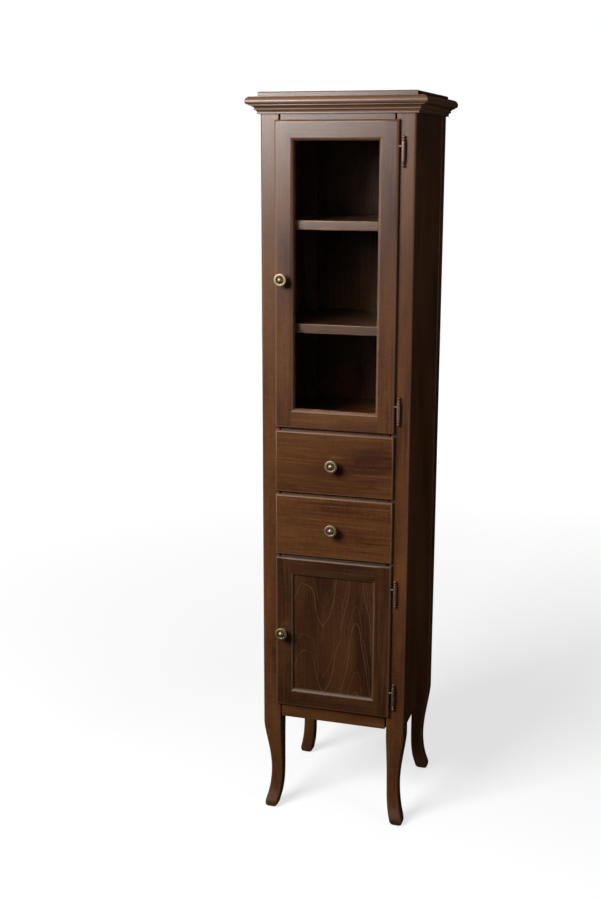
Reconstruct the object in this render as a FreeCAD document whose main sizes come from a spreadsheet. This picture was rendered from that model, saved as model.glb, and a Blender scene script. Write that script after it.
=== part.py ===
import FreeCAD, Part
import math
import os
from types import SimpleNamespace

import Sketcher

# A tall, narrow bathroom cabinet on cabriole legs. From the top: a moulded
# cornice, a glazed door with two shelves behind it, two drawers and a panelled
# door. Millimetres. +Z is up, -Y is the front, X = 0 is the middle of the width,
# Z = 0 is the floor and Y = 0 is halfway between the knob tips and the back.

os.makedirs("parts", exist_ok=True)
doc = FreeCAD.newDocument("tall_bathroom_cabinet")
Vector = FreeCAD.Vector

# ---------------------------------------------------------------- driving sizes

SIZES = (
    # carcass
    ("body_width", "346"),
    ("body_depth", "336"),
    ("post_size", "43"),
    ("post_corner_radius", "2.5"),
    ("rail_thickness", "22"),
    ("bottom_rail_height", "42"),
    ("top_margin", "48.6"),
    ("tenon_thickness", "8"),
    ("tenon_length", "16"),
    ("tenon_shoulder", "5"),
    ("tenon_clearance", "0.15"),
    ("side_panel_thickness", "12"),
    ("side_panel_recess", "2"),
    ("side_panel_tongue", "8"),
    ("groove_clearance", "0.1"),
    ("back_panel_thickness", "6"),
    ("back_panel_rabbet", "8"),
    ("back_rail_thickness", "18"),
    ("back_rail_height", "50"),
    # curved leg, section by section up from the floor: how far each section
    # stands above the one below it, and how far its outer and inner faces lie
    # inside the post's own faces
    ("toe_rise", "16"),
    ("toe_outer", "1.5"),
    ("toe_inner", "9.4"),
    ("instep_rise", "21"),
    ("instep_outer", "7"),
    ("instep_inner", "4.6"),
    ("ankle_rise", "28"),
    ("ankle_outer", "11.8"),
    ("ankle_inner", "1.2"),
    ("shin_rise", "37"),
    ("shin_outer", "13.8"),
    ("shin_inner", "0"),
    ("calf_rise", "36"),
    ("calf_outer", "11.6"),
    ("calf_inner", "0"),
    ("brow_rise", "36"),
    ("brow_outer", "6.8"),
    ("brow_inner", "0"),
    ("knee_rise", "26"),
    ("knee_outer", "2.9"),
    ("knee_inner", "0"),
    ("shoulder_rise", "28"),
    ("collar_rise", "22"),
    ("sole_outer", "0.3"),
    ("sole_inner", "13"),
    ("sole_edge_radius", "2.5"),
    ("leg_corner_radius", "5"),
    # top board and cornice
    ("top_board_thickness", "10"),
    ("top_board_side_overhang", "3"),
    ("top_board_front_overhang", "8"),
    ("top_board_edge_radius", "3"),
    ("cornice_foot_projection", "6"),
    ("cornice_foot_height", "7.6"),
    ("cornice_foot_reach", "7.5"),
    ("cornice_foot_radius", "6.8"),
    ("cornice_bead_height", "3.6"),
    ("cornice_bead_reach", "9.6"),
    ("cornice_cove_height", "6"),
    ("cornice_cove_radius", "14"),
    ("cornice_fillet_height", "1.6"),
    ("cornice_fillet_reach", "20.5"),
    ("cornice_undercut_height", "0.6"),
    ("cornice_undercut_reach", "22.8"),
    ("cornice_nose_height", "5.6"),
    ("cornice_nose_radius", "5.9"),
    ("cornice_projection", "27"),
    ("cornice_round_height", "10.2"),
    ("cornice_round_radius", "11.4"),
    ("cornice_top_step", "0.8"),
    ("cornice_top_flat", "20.5"),
    # doors and drawer fronts
    ("front_gap", "6"),
    ("lip_overlap", "8.6"),
    ("lip_proud", "10.5"),
    ("lip_radius", "5.5"),
    ("lip_clearance", "0.3"),
    ("inset_depth", "9.5"),
    ("inset_clearance", "2"),
    ("lower_door_height", "372"),
    ("lower_drawer_front_height", "145"),
    ("upper_drawer_front_height", "145"),
    ("glass_door_height", "678"),
    ("door_frame_width", "37.5"),
    ("sticking_width", "6"),
    ("sticking_quirk", "1"),
    ("sticking_radius", "5"),
    ("pane_setback", "8"),
    ("pane_rabbet", "8"),
    ("glass_thickness", "3"),
    ("panel_thickness", "6"),
    ("pane_clearance", "0.3"),
    # boards and shelves
    ("board_thickness", "16"),
    ("board_dado_depth", "4"),
    ("shelf_thickness", "20"),
    ("shelf_clearance", "1"),
    ("shelf_front_setback", "16"),
    ("shelf_back_gap", "4"),
    ("lower_shelf_rise", "206.5"),
    ("upper_shelf_rise", "435"),
    ("shelf_pin_diameter", "5"),
    ("shelf_pin_length", "18"),
    ("shelf_pin_depth", "9"),
    ("shelf_pin_setback", "28"),
    # drawers and runners
    ("drawer_back_gap", "40.5"),
    ("drawer_side_height", "100"),
    ("drawer_side_thickness", "12"),
    ("drawer_bottom_thickness", "5"),
    ("drawer_bottom_rise", "9"),
    ("drawer_groove_depth", "6"),
    ("drawer_running_gap", "0.3"),
    ("runner_thickness", "11.2"),
    ("runner_reach", "18"),
    ("runner_guide_height", "26"),
    # knobs and their screws
    ("knob_reach", "27"),
    ("knob_radius", "15"),
    ("knob_rim_height", "3.5"),
    ("knob_bowl_radius", "16"),
    ("knob_base_radius", "8"),
    ("knob_base_height", "2.5"),
    ("knob_neck_radius", "4.5"),
    ("knob_neck_height", "6"),
    ("knob_neck_rise", "2"),
    ("knob_boss_height", "3"),
    ("knob_boss_radius", "8.7"),
    ("knob_boss_flat", "1.5"),
    ("knob_dish_radius", "8"),
    ("knob_dish_depth", "2.4"),
    ("knob_bore_depth", "13"),
    ("knob_screw_diameter", "4"),
    ("knob_screw_clearance", "0.2"),
    ("knob_screw_head_diameter", "9"),
    ("knob_screw_head_height", "2.4"),
    ("knob_screw_grip", "10"),
    ("knob_from_door_edge", "20"),
    ("glass_door_knob_rise", "336"),
    ("lower_door_knob_rise", "188"),
    # hinges
    ("hinge_diameter", "8"),
    ("hinge_outset", "8.5"),
    ("hinge_standoff", "6"),
    ("hinge_knuckle_length", "20.3"),
    ("hinge_knuckle_gap", "0.4"),
    ("hinge_finial_length", "12.5"),
    ("hinge_ball_height", "5.8"),
    ("hinge_tip_radius", "0.6"),
    ("hinge_neck_radius", "1.8"),
    ("hinge_neck_height", "1.6"),
    ("hinge_collar_height", "2.6"),
    ("hinge_collar_radius", "2.8"),
    ("hinge_pin_diameter", "4"),
    ("hinge_pin_length", "16"),
    ("hinge_pin_clearance", "0.06"),
    ("hinge_shank_diameter", "4.6"),
    ("hinge_shank_clearance", "0.1"),
    ("hinge_shank_length", "24"),
    ("hinge_from_top", "66"),
    ("hinge_from_bottom", "52"),
    # catches
    ("catch_width", "14"),
    ("catch_depth", "20"),
    ("catch_height", "36"),
    ("catch_drop", "70"),
    ("catch_shelf_gap", "12.9"),
    ("strike_height", "24"),
    ("strike_thickness", "0.8"),
    ("strike_gap", "0.3"),
)


class Measure:
    """A length that carries its value and the sheet formula it comes from."""

    def __init__(self, value, formula):
        self.value = value
        self.formula = formula

    def __add__(self, other):
        other = measure(other)
        return Measure(self.value + other.value, f"({self.formula} + {other.formula})")

    def __sub__(self, other):
        other = measure(other)
        return Measure(self.value - other.value, f"({self.formula} - {other.formula})")

    def __mul__(self, factor):
        return Measure(self.value * factor, f"({self.formula} * {factor})")

    def __truediv__(self, divisor):
        return Measure(self.value / divisor, f"({self.formula} / {divisor})")

    def __neg__(self):
        return Measure(-self.value, f"(-{self.formula})")


def measure(number):
    """Plain numbers become measures too, so that both can be added."""
    if isinstance(number, Measure):
        return number
    return Measure(float(number), str(number))


ZERO = measure(0)
# how near a plane an edge counts as lying in it
NEAR = 0.001
# a bead's arc is a little under a half circle: its radius and how far it bulges,
# both as shares of the bead's height
ROUNDNESS = 0.55
ROUND_BULGE = ROUNDNESS - math.sqrt(ROUNDNESS**2 - 0.25)

sheet = doc.addObject("Spreadsheet::Sheet", "sizes")
size = SimpleNamespace()
for row, (alias, text) in enumerate(SIZES, start=1):
    sheet.set(f"A{row}", alias)
    sheet.set(f"B{row}", text)
    sheet.setAlias(f"B{row}", alias)
    setattr(size, alias, Measure(float(text), f"sizes.{alias}"))
doc.recompute()

# ------------------------------------------------------------- places and heights

half_width = size.body_width / 2
front = -(size.body_depth - size.lip_proud - size.knob_reach) / 2
back = front + size.body_depth
opening_half = half_width - size.post_size
post_back = front + size.post_size
rear_post_front = back - size.post_size

# heights of the leg's sections above the floor
toe_z = size.toe_rise
instep_z = toe_z + size.instep_rise
ankle_z = instep_z + size.ankle_rise
shin_z = ankle_z + size.shin_rise
calf_z = shin_z + size.calf_rise
brow_z = calf_z + size.brow_rise
knee_z = brow_z + size.knee_rise
shoulder_z = knee_z + size.shoulder_rise
leg_top = shoulder_z + size.collar_rise

# the stack of rails, fronts and gaps above the legs
bottom_rail_top = leg_top + size.bottom_rail_height
lower_door_bottom = bottom_rail_top - size.lip_overlap
lower_door_top = lower_door_bottom + size.lower_door_height
lower_drawer_bottom = lower_door_top + size.front_gap
lower_drawer_top = lower_drawer_bottom + size.lower_drawer_front_height
upper_drawer_bottom = lower_drawer_top + size.front_gap
upper_drawer_top = upper_drawer_bottom + size.upper_drawer_front_height
glass_door_bottom = upper_drawer_top + size.front_gap
glass_door_top = glass_door_bottom + size.glass_door_height
carcass_top = glass_door_top + size.top_margin
top_z = carcass_top + size.top_board_thickness

front_half = opening_half + size.lip_overlap
lip_face = front - size.lip_proud
lip_back = front - size.lip_clearance
inset_half = opening_half - size.inset_clearance
inset_back = front + size.inset_depth
divider_height = size.front_gap + size.lip_overlap * 2
rail_back = front + size.rail_thickness
back_panel_front = back - size.back_panel_thickness

panel_outer = half_width - size.side_panel_recess
panel_inner = panel_outer - size.side_panel_thickness

glass_floor = glass_door_bottom + size.lip_overlap
middle_floor = upper_drawer_bottom + size.lip_overlap
dust_floor = lower_drawer_bottom + size.lip_overlap
lower_shelf_bottom = glass_floor + size.lower_shelf_rise
upper_shelf_bottom = glass_floor + size.upper_shelf_rise

hinge_x = front_half + size.hinge_outset
hinge_y = front - size.hinge_standoff

# ------------------------------------------------------------------ plain helpers

pieces = {}


def bind(item, prop, length):
    item.setExpression(prop, measure(length).formula)


def place(item, x, y, z):
    bind(item, "Placement.Base.x", x)
    bind(item, "Placement.Base.y", y)
    bind(item, "Placement.Base.z", z)


def keep(item, label):
    """Marks an object as a finished piece of the cabinet."""
    item.Label = label
    pieces[label] = item


def box(name, x_range, y_range, z_range):
    """A board between two lowest and highest planes in each direction."""
    item = doc.addObject("Part::Box", name)
    for prop, (low, high) in zip(("Length", "Width", "Height"), (x_range, y_range, z_range)):
        bind(item, prop, measure(high) - low)
    place(item, x_range[0], y_range[0], z_range[0])
    return item


def both_ways(half):
    """A range centred on zero."""
    return (-half, half)


def rod(name, diameter, length, centre, direction):
    """A round bar that starts at a centre and runs along a direction."""
    item = doc.addObject("Part::Cylinder", name)
    bind(item, "Radius", diameter / 2)
    bind(item, "Height", length)
    item.Placement = FreeCAD.Placement(Vector(), FreeCAD.Rotation(Vector(0, 0, 1), Vector(*direction)))
    place(item, *centre)
    return item


def join(name, *items):
    fused = doc.addObject("Part::MultiFuse", name)
    fused.Shapes = list(items)
    fused.Refine = True
    return fused


def group(name, items):
    """Separate solids that are kept together as one set."""
    compound = doc.addObject("Part::Compound", name)
    compound.Links = list(items)
    return compound


def cut(name, base, *tools):
    result = doc.addObject("Part::Cut", name)
    result.Base = base
    result.Tool = tools[0] if len(tools) == 1 else join(name + "_waste", *tools)
    return result


def overlap(name, first, second):
    common = doc.addObject("Part::Common", name)
    common.Base = first
    common.Tool = second
    return common


# ----------------------------------------------------------------- sketch helpers


def body_plane(body, role):
    return next(item for item in body.Origin.OriginFeatures if item.Role == role)


def new_sketch(body, name, role, offset=ZERO):
    sketch = body.newObject("Sketcher::SketchObject", name)
    sketch.AttachmentSupport = (body_plane(body, role), [""])
    sketch.MapMode = "FlatFace"
    bind(sketch, "AttachmentOffset.Base.z", offset)
    return sketch


def arc_between(start, end, radius, turn):
    """An arc from start to end; turn is +1 counterclockwise, -1 clockwise."""
    middle = (start + end) * 0.5
    chord = end - start
    half = chord.Length / 2
    reach = math.sqrt(max(radius * radius - half * half, 0.0))
    normal = Vector(-chord.y, chord.x, 0).normalize()
    centre = middle + normal * (reach * turn)
    first, last = (start, end) if turn > 0 else (end, start)
    angle_first = math.atan2(first.y - centre.y, first.x - centre.x)
    angle_last = math.atan2(last.y - centre.y, last.x - centre.x)
    if angle_last < angle_first:
        angle_last += 2 * math.pi
    return Part.ArcOfCircle(Part.Circle(centre, Vector(0, 0, 1), radius), angle_first, angle_last)


def outline(sketch, corners):
    """Closes a loop through the corners. A corner is (x, y) where a straight
    edge starts, or (x, y, radius, turn) where an arc starts."""
    corners = [(measure(corner[0]), measure(corner[1])) + tuple(corner[2:]) for corner in corners]
    base = sketch.GeometryCount
    points = [Vector(corner[0].value, corner[1].value, 0) for corner in corners]
    count = len(corners)
    starts = []
    ends = []
    for index, corner in enumerate(corners):
        start = points[index]
        end = points[(index + 1) % count]
        if len(corner) == 2:
            sketch.addGeometry(Part.LineSegment(start, end), False)
            turn = 1
        else:
            turn = corner[3]
            sketch.addGeometry(arc_between(start, end, corner[2].value, turn), False)
        starts.append(1 if turn > 0 else 2)
        ends.append(2 if turn > 0 else 1)
    for index, corner in enumerate(corners):
        following = (index + 1) % count
        sketch.addConstraint(
            Sketcher.Constraint(
                "Coincident", base + index, ends[index], base + following, starts[following]
            )
        )
        for kind, length in (("DistanceX", corner[0]), ("DistanceY", corner[1])):
            fixed = Sketcher.Constraint(kind, -1, 1, base + index, starts[index], length.value)
            number = sketch.addConstraint(fixed)
            bind(sketch, f"Constraints[{number}]", length)
        if len(corner) == 4:
            radius = Sketcher.Constraint("Radius", base + index, corner[2].value)
            number = sketch.addConstraint(radius)
            bind(sketch, f"Constraints[{number}]", corner[2])


def rounded_square(sketch, low, high, radius):
    """A square from (low, low) to (high, high) with rounded corners."""
    near = low + radius
    far = high - radius
    outline(
        sketch,
        (
            (near, low),
            (far, low, radius, 1),
            (high, near),
            (high, far, radius, 1),
            (far, high),
            (near, high, radius, 1),
            (low, far),
            (low, near, radius, 1),
        ),
    )


def pad(body, name, sketch, length):
    feature = body.newObject("PartDesign::Pad", name)
    feature.Profile = sketch
    bind(feature, "Length", length)
    return feature


def new_body(name):
    return doc.addObject("PartDesign::Body", name)


def turned(name, corners, role="XZ_Plane"):
    """A body of revolution about the upright axis of its profile's plane."""
    body = new_body(name)
    profile = new_sketch(body, name + "_profile", role)
    outline(profile, corners)
    turning = body.newObject("PartDesign::Revolution", name + "_turning")
    turning.Profile = profile
    turning.ReferenceAxis = (profile, ["V_Axis"])
    turning.Angle = 360
    return body


def round_edges(body, name, base, radius, wanted):
    """Rounds the edges of a feature whose middle point passes a test."""
    doc.recompute()
    chosen = []
    for number, edge in enumerate(base.Shape.Edges, start=1):
        if wanted(edge.BoundBox):
            chosen.append(f"Edge{number}")
    fillet = body.newObject("PartDesign::Fillet", name)
    fillet.Base = (base, chosen)
    bind(fillet, "Radius", radius)


# -------------------------------------------------------------- rails with tenons

mortises = {"front": [], "back": []}


def tenoned_rail(label, z_low, z_high, y_low, y_high, side):
    """A rail between two posts, with a tenon in a mortise at each end."""
    middle = (y_low + y_high) / 2
    half_tenon = size.tenon_thickness / 2
    tenon_z = (z_low + size.tenon_shoulder, z_high - size.tenon_shoulder)
    board = box(label + "_board", both_ways(opening_half), (y_low, y_high), (z_low, z_high))
    tenon = box(
        label + "_tenon",
        both_ways(opening_half + size.tenon_length),
        (middle - half_tenon, middle + half_tenon),
        tenon_z,
    )
    spare = size.tenon_clearance
    mortise = box(
        label + "_mortise",
        both_ways(opening_half + size.tenon_length + spare),
        (middle - half_tenon - spare, middle + half_tenon + spare),
        (tenon_z[0] - spare, tenon_z[1] + spare),
    )
    mortises[side].append(mortise)
    keep(join(label + "_rail", board, tenon), label)


FRONT_RAILS = (
    ("bottom_front_rail", leg_top, bottom_rail_top),
    ("lower_divider_rail", dust_floor - divider_height, dust_floor),
    ("middle_divider_rail", middle_floor - divider_height, middle_floor),
    ("upper_divider_rail", glass_floor - divider_height, glass_floor),
    ("top_front_rail", glass_door_top - size.lip_overlap, carcass_top),
)
for label, z_low, z_high in FRONT_RAILS:
    tenoned_rail(label, z_low, z_high, front, rail_back, "front")

BACK_RAILS = (
    ("bottom_back_rail", leg_top, leg_top + size.back_rail_height),
    ("top_back_rail", carcass_top - size.back_rail_height, carcass_top),
)
back_rail_front = back_panel_front - size.back_rail_thickness
for label, z_low, z_high in BACK_RAILS:
    tenoned_rail(label, z_low, z_high, back_rail_front, back_panel_front, "back")

# --------------------------------------------------------------- panels and boards

carcass_height = (leg_top, carcass_top)
back_panel_half = opening_half + size.back_panel_rabbet
keep(
    box("back_panel_board", both_ways(back_panel_half), (back_panel_front, back), carcass_height),
    "back_panel",
)
back_rabbet = box(
    "back_rabbet", both_ways(back_panel_half), (back_panel_front, back), carcass_height
)


def notched_board(name, z_range, wide_half, y_front, y_back, narrow_half, gap):
    """A board that is narrow between the posts and wide between the panels."""
    narrow = box(name + "_narrow", both_ways(narrow_half), (y_front, y_back), z_range)
    wide = box(
        name + "_wide",
        both_ways(wide_half),
        (post_back + gap, rear_post_front - gap),
        z_range,
    )
    return join(name, narrow, wide)


BOARDS = (
    ("glass_compartment_floor", glass_floor - size.board_thickness, glass_floor),
    ("dust_board", dust_floor - divider_height, dust_floor - size.runner_thickness),
    ("bottom_board", bottom_rail_top - size.board_thickness, bottom_rail_top),
)
dadoes = []
for label, z_low, z_high in BOARDS:
    ends_at = back_rail_front if label == "bottom_board" else back_panel_front
    board = notched_board(
        label + "_board",
        (z_low, z_high),
        panel_inner + size.board_dado_depth,
        rail_back,
        ends_at,
        opening_half,
        ZERO,
    )
    keep(board, label)
    dadoes.append(
        box(
            label + "_dado",
            both_ways(panel_inner + size.board_dado_depth),
            (post_back, rear_post_front),
            (z_low, z_high),
        )
    )

dado_waste = join("dado_waste", *dadoes)

tongue_y = (post_back - size.side_panel_tongue, rear_post_front + size.side_panel_tongue)
panel_grooves = {}
for side, sign in (("left", -1), ("right", 1)):
    reach = sorted((panel_inner * sign, panel_outer * sign), key=lambda length: length.value)
    panel = box(side + "_panel_board", reach, tongue_y, carcass_height)
    keep(cut(side + "_panel_cut", panel, dado_waste), side + "_side_panel")
    spare = size.groove_clearance
    panel_grooves[side] = box(
        side + "_panel_groove",
        (reach[0] - spare, reach[1] + spare),
        tongue_y,
        carcass_height,
    )

# ------------------------------------------------------------------------ shelves

SHELVES = (
    ("lower_shelf", lower_shelf_bottom),
    ("upper_shelf", upper_shelf_bottom),
)
shelf_back = back_panel_front - size.shelf_back_gap
for label, z_low in SHELVES:
    shelf = notched_board(
        label + "_board",
        (z_low, z_low + size.shelf_thickness),
        panel_inner - size.shelf_clearance,
        front + size.shelf_front_setback,
        shelf_back,
        opening_half - size.shelf_clearance,
        size.shelf_clearance,
    )
    keep(shelf, label)

pins = []
pin_holes = {}
for end, pin_y in (("front", front + size.shelf_pin_setback), ("back", back - size.post_size / 2)):
    for side, sign in (("left", -1), ("right", 1)):
        corner = end + "_" + side
        pin_holes[corner] = []
        pin_start = (opening_half + size.shelf_pin_depth) * sign
        for label, z_low in SHELVES:
            centre = (pin_start, pin_y, z_low - size.shelf_pin_diameter / 2)
            inward = (-sign, 0, 0)
            name = label + "_" + corner
            pins.append(
                rod(name + "_pin", size.shelf_pin_diameter, size.shelf_pin_length, centre, inward)
            )
            pin_holes[corner].append(
                rod(
                    name + "_hole",
                    size.shelf_pin_diameter + size.groove_clearance,
                    size.shelf_pin_depth,
                    centre,
                    inward,
                )
            )
keep(group("shelf_pin_set", pins), "shelf_pins")

# ------------------------------------------------------------------------- hinges


def hinge_outline(sign, core):
    """Half of a barrel hinge: knuckle, collar, neck and ball, from the joint
    between the halves outwards. Sign is +1 for the upper half, -1 for the lower."""
    knuckle_end = size.hinge_knuckle_gap / 2 + size.hinge_knuckle_length
    tip = knuckle_end + size.hinge_finial_length
    ball_start = tip - size.hinge_ball_height
    neck_start = ball_start - size.hinge_neck_height
    collar_start = neck_start - size.hinge_collar_height
    barrel = size.hinge_diameter / 2
    corners = [
        (barrel, size.hinge_knuckle_gap / 2),
        (barrel, knuckle_end),
        (size.hinge_collar_radius, collar_start),
        (size.hinge_collar_radius, neck_start),
        (size.hinge_neck_radius, neck_start),
        (size.hinge_neck_radius, ball_start, size.hinge_ball_height * ROUNDNESS, sign),
        (size.hinge_tip_radius, tip),
        (ZERO, tip),
    ]
    corners += core
    return [(corner[0], measure(corner[1]) * sign) + tuple(corner[2:]) for corner in corners]


PIN_RADIUS = size.hinge_pin_diameter / 2
BORE_RADIUS = PIN_RADIUS + size.hinge_pin_clearance
BORE_DEPTH = size.hinge_pin_length + size.hinge_knuckle_gap
lower_core = [
    (ZERO, -size.hinge_pin_length),
    (PIN_RADIUS, -size.hinge_pin_length),
    (PIN_RADIUS, size.hinge_knuckle_gap / 2),
]
upper_core = [
    (ZERO, BORE_DEPTH),
    (BORE_RADIUS, BORE_DEPTH),
    (BORE_RADIUS, size.hinge_knuckle_gap / 2),
]
frame_hinge_halves = []
frame_hinge_holes = []


def hinge(name, z):
    """One hinge. Returns its door half and the hole that its shank needs."""
    shank_wide = size.hinge_shank_diameter + size.hinge_shank_clearance * 2
    into = size.hinge_shank_length
    knuckle_middle = size.hinge_knuckle_length / 2

    lower = turned(name + "_frame_barrel", hinge_outline(-1, lower_core))
    place(lower, hinge_x, hinge_y, z)
    centre = (hinge_x, hinge_y, z - knuckle_middle)
    reach = size.hinge_standoff + into
    backwards = (0, 1, 0)
    shank = rod(name + "_frame_shank", size.hinge_shank_diameter, reach, centre, backwards)
    frame_hinge_halves.append(join(name + "_frame_half", lower, shank))
    hole = rod(name + "_frame_hole", shank_wide, reach + size.hinge_shank_clearance, centre, backwards)
    frame_hinge_holes.append(hole)

    upper = turned(name + "_door_barrel", hinge_outline(1, upper_core))
    place(upper, hinge_x, hinge_y, z)
    wall_middle = (size.hinge_diameter / 2 + BORE_RADIUS) / 2
    centre = (hinge_x - wall_middle, hinge_y, z + knuckle_middle)
    reach = size.hinge_outset - wall_middle + into
    sideways = (-1, 0, 0)
    shank = rod(name + "_door_shank", size.hinge_shank_diameter, reach, centre, sideways)
    hole = rod(name + "_door_hole", shank_wide, reach + size.hinge_shank_clearance, centre, sideways)
    return join(name + "_door_half", upper, shank), hole


# -------------------------------------------------------------------------- knobs


def knob(label, x, z):
    """A turned knob, its screw from behind and the hole that the screw needs."""
    bore = (size.knob_screw_diameter + size.knob_screw_clearance) / 2
    neck_top = size.knob_base_height + size.knob_neck_height
    rim_top = size.knob_reach - size.knob_boss_height
    rim_inner = size.knob_radius - size.knob_rim_height * ROUND_BULGE
    profile = (
        (bore, ZERO),
        (size.knob_base_radius, ZERO),
        (size.knob_base_radius, size.knob_base_height),
        (size.knob_neck_radius, size.knob_base_height + size.knob_neck_rise),
        (size.knob_neck_radius, neck_top, size.knob_bowl_radius, 1),
        (rim_inner, rim_top - size.knob_rim_height, size.knob_rim_height * ROUNDNESS, 1),
        (rim_inner, rim_top),
        (size.knob_dish_radius, rim_top - size.knob_dish_depth, size.knob_boss_radius, 1),
        (size.knob_boss_flat, size.knob_reach),
        (ZERO, size.knob_reach),
        (ZERO, size.knob_bore_depth),
        (bore, size.knob_bore_depth),
    )
    body = turned(label + "_body", profile)
    body.Placement = FreeCAD.Placement(Vector(), FreeCAD.Rotation(Vector(1, 0, 0), 90))
    place(body, x, lip_face, z)
    keep(body, label)

    outward = (0, -1, 0)
    head_y = inset_back + size.knob_screw_head_height
    head = rod(
        label + "_screw_head",
        size.knob_screw_head_diameter,
        size.knob_screw_head_height,
        (x, head_y, z),
        outward,
    )
    through = size.lip_proud + size.inset_depth
    shank = rod(
        label + "_screw_shank",
        size.knob_screw_diameter,
        size.knob_screw_head_height + through + size.knob_screw_grip,
        (x, head_y, z),
        outward,
    )
    keep(join(label + "_screw_body", head, shank), label + "_screw")
    return rod(
        label + "_screw_hole",
        size.knob_screw_diameter + size.knob_screw_clearance * 2,
        through,
        (x, inset_back, z),
        outward,
    )


# ---------------------------------------------------- lipped fronts for all openings

lip_thickness = lip_back - lip_face


def rectangle(sketch, half, z_low, z_high):
    outline(sketch, ((-half, z_low), (half, z_low), (half, z_high), (-half, z_high)))


def at_front(bound):
    """True for an edge that lies in the front plane of a lipped front."""
    return abs(bound.YMin + lip_thickness.value) < NEAR and bound.YLength < NEAR


def lipped_front(name, z_low, z_high):
    """The rounded lip of a front, before the inset part is added behind it."""
    body = new_body(name)
    face = new_sketch(body, name + "_face", "XZ_Plane")
    rectangle(face, front_half, z_low, z_high)
    lip = pad(body, name + "_lip", face, lip_thickness)
    round_edges(body, name + "_rounded", lip, size.lip_radius, at_front)
    place(body, ZERO, lip_back, ZERO)
    return body


def inset_slab(name, z_low, z_high):
    """The part of a front that stands in the opening behind the lip."""
    hidden = size.lip_overlap + size.inset_clearance
    return box(name, both_ways(inset_half), (lip_back, inset_back), (z_low + hidden, z_high - hidden))


# ------------------------------------------------------------------------ drawers


def drawer(name, z_low, height, floor):
    """A drawer: lipped front, two sides, back and a bottom in grooves."""
    z_high = z_low + height
    body = lipped_front(name + "_front_lip", z_low, z_high)
    slab = inset_slab(name + "_front_inset", z_low, z_high)
    screw_hole = knob(name + "_knob", ZERO, z_low + height / 2)

    box_low = floor + size.drawer_running_gap
    box_high = box_low + size.drawer_side_height
    box_back = back_panel_front - size.drawer_back_gap
    side_inner = inset_half - size.drawer_side_thickness
    bottom_low = box_low + size.drawer_bottom_rise
    bottom_z = (bottom_low, bottom_low + size.drawer_bottom_thickness)
    bottom_y = (inset_back - size.drawer_groove_depth, box_back)
    bottom_half = side_inner + size.drawer_groove_depth
    bottom = box(name + "_bottom_panel", both_ways(bottom_half), bottom_y, bottom_z)
    keep(bottom, name + "_bottom")
    groove = box(name + "_bottom_groove", both_ways(bottom_half), bottom_y, bottom_z)

    whole_front = join(name + "_front_blank", body, slab)
    keep(cut(name + "_front_cut", whole_front, groove, screw_hole), name + "_front")
    for side, low, high in (("left", -inset_half, -side_inner), ("right", side_inner, inset_half)):
        board = box(
            f"{name}_{side}_board", (low, high), (inset_back, box_back), (box_low, box_high)
        )
        keep(cut(f"{name}_{side}_cut", board, groove), f"{name}_{side}_side")
    back_board = box(
        name + "_back_board",
        both_ways(side_inner),
        (box_back - size.drawer_side_thickness, box_back),
        (bottom_z[1], box_high),
    )
    keep(back_board, name + "_back")


drawer("lower_drawer", lower_drawer_bottom, size.lower_drawer_front_height, dust_floor)
drawer("upper_drawer", upper_drawer_bottom, size.upper_drawer_front_height, middle_floor)

# an L-shaped runner on each side carries each drawer and guides it sideways
runners = []
for name, floor in (("lower", dust_floor), ("upper", middle_floor)):
    for side, sign in (("left", -1), ("right", 1)):
        inner = (inset_half - size.runner_reach) * sign
        post_face = opening_half * sign
        wall = panel_inner * sign
        if sign < 0:
            narrow_x, wide_x, guide_x = (post_face, inner), (wall, inner), (wall, post_face)
        else:
            narrow_x, wide_x, guide_x = (inner, post_face), (inner, wall), (post_face, wall)
        z_range = (floor - size.runner_thickness, floor)
        tag = f"{name}_{side}_runner"
        narrow = box(tag + "_front_end", narrow_x, (rail_back, post_back), z_range)
        wide = box(tag + "_strip", wide_x, (post_back, rear_post_front), z_range)
        guide = box(
            tag + "_guide",
            guide_x,
            (post_back, rear_post_front),
            (floor, floor + size.runner_guide_height),
        )
        runners.append(join(tag, narrow, wide, guide))
keep(group("drawer_runner_set", runners), "drawer_runners")

# -------------------------------------------------------------------------- doors

face_half = front_half - size.door_frame_width
sight_half = face_half - size.sticking_width
pane_front = lip_face + size.pane_setback


def at_quirk(bound):
    """True for an opening edge at the bottom of the shallow step round it."""
    level = size.sticking_quirk.value - lip_thickness.value
    inside = max(abs(bound.XMin), abs(bound.XMax)) < sight_half.value + NEAR
    return inside and abs(bound.YMin - level) < NEAR and bound.YLength < NEAR


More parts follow.
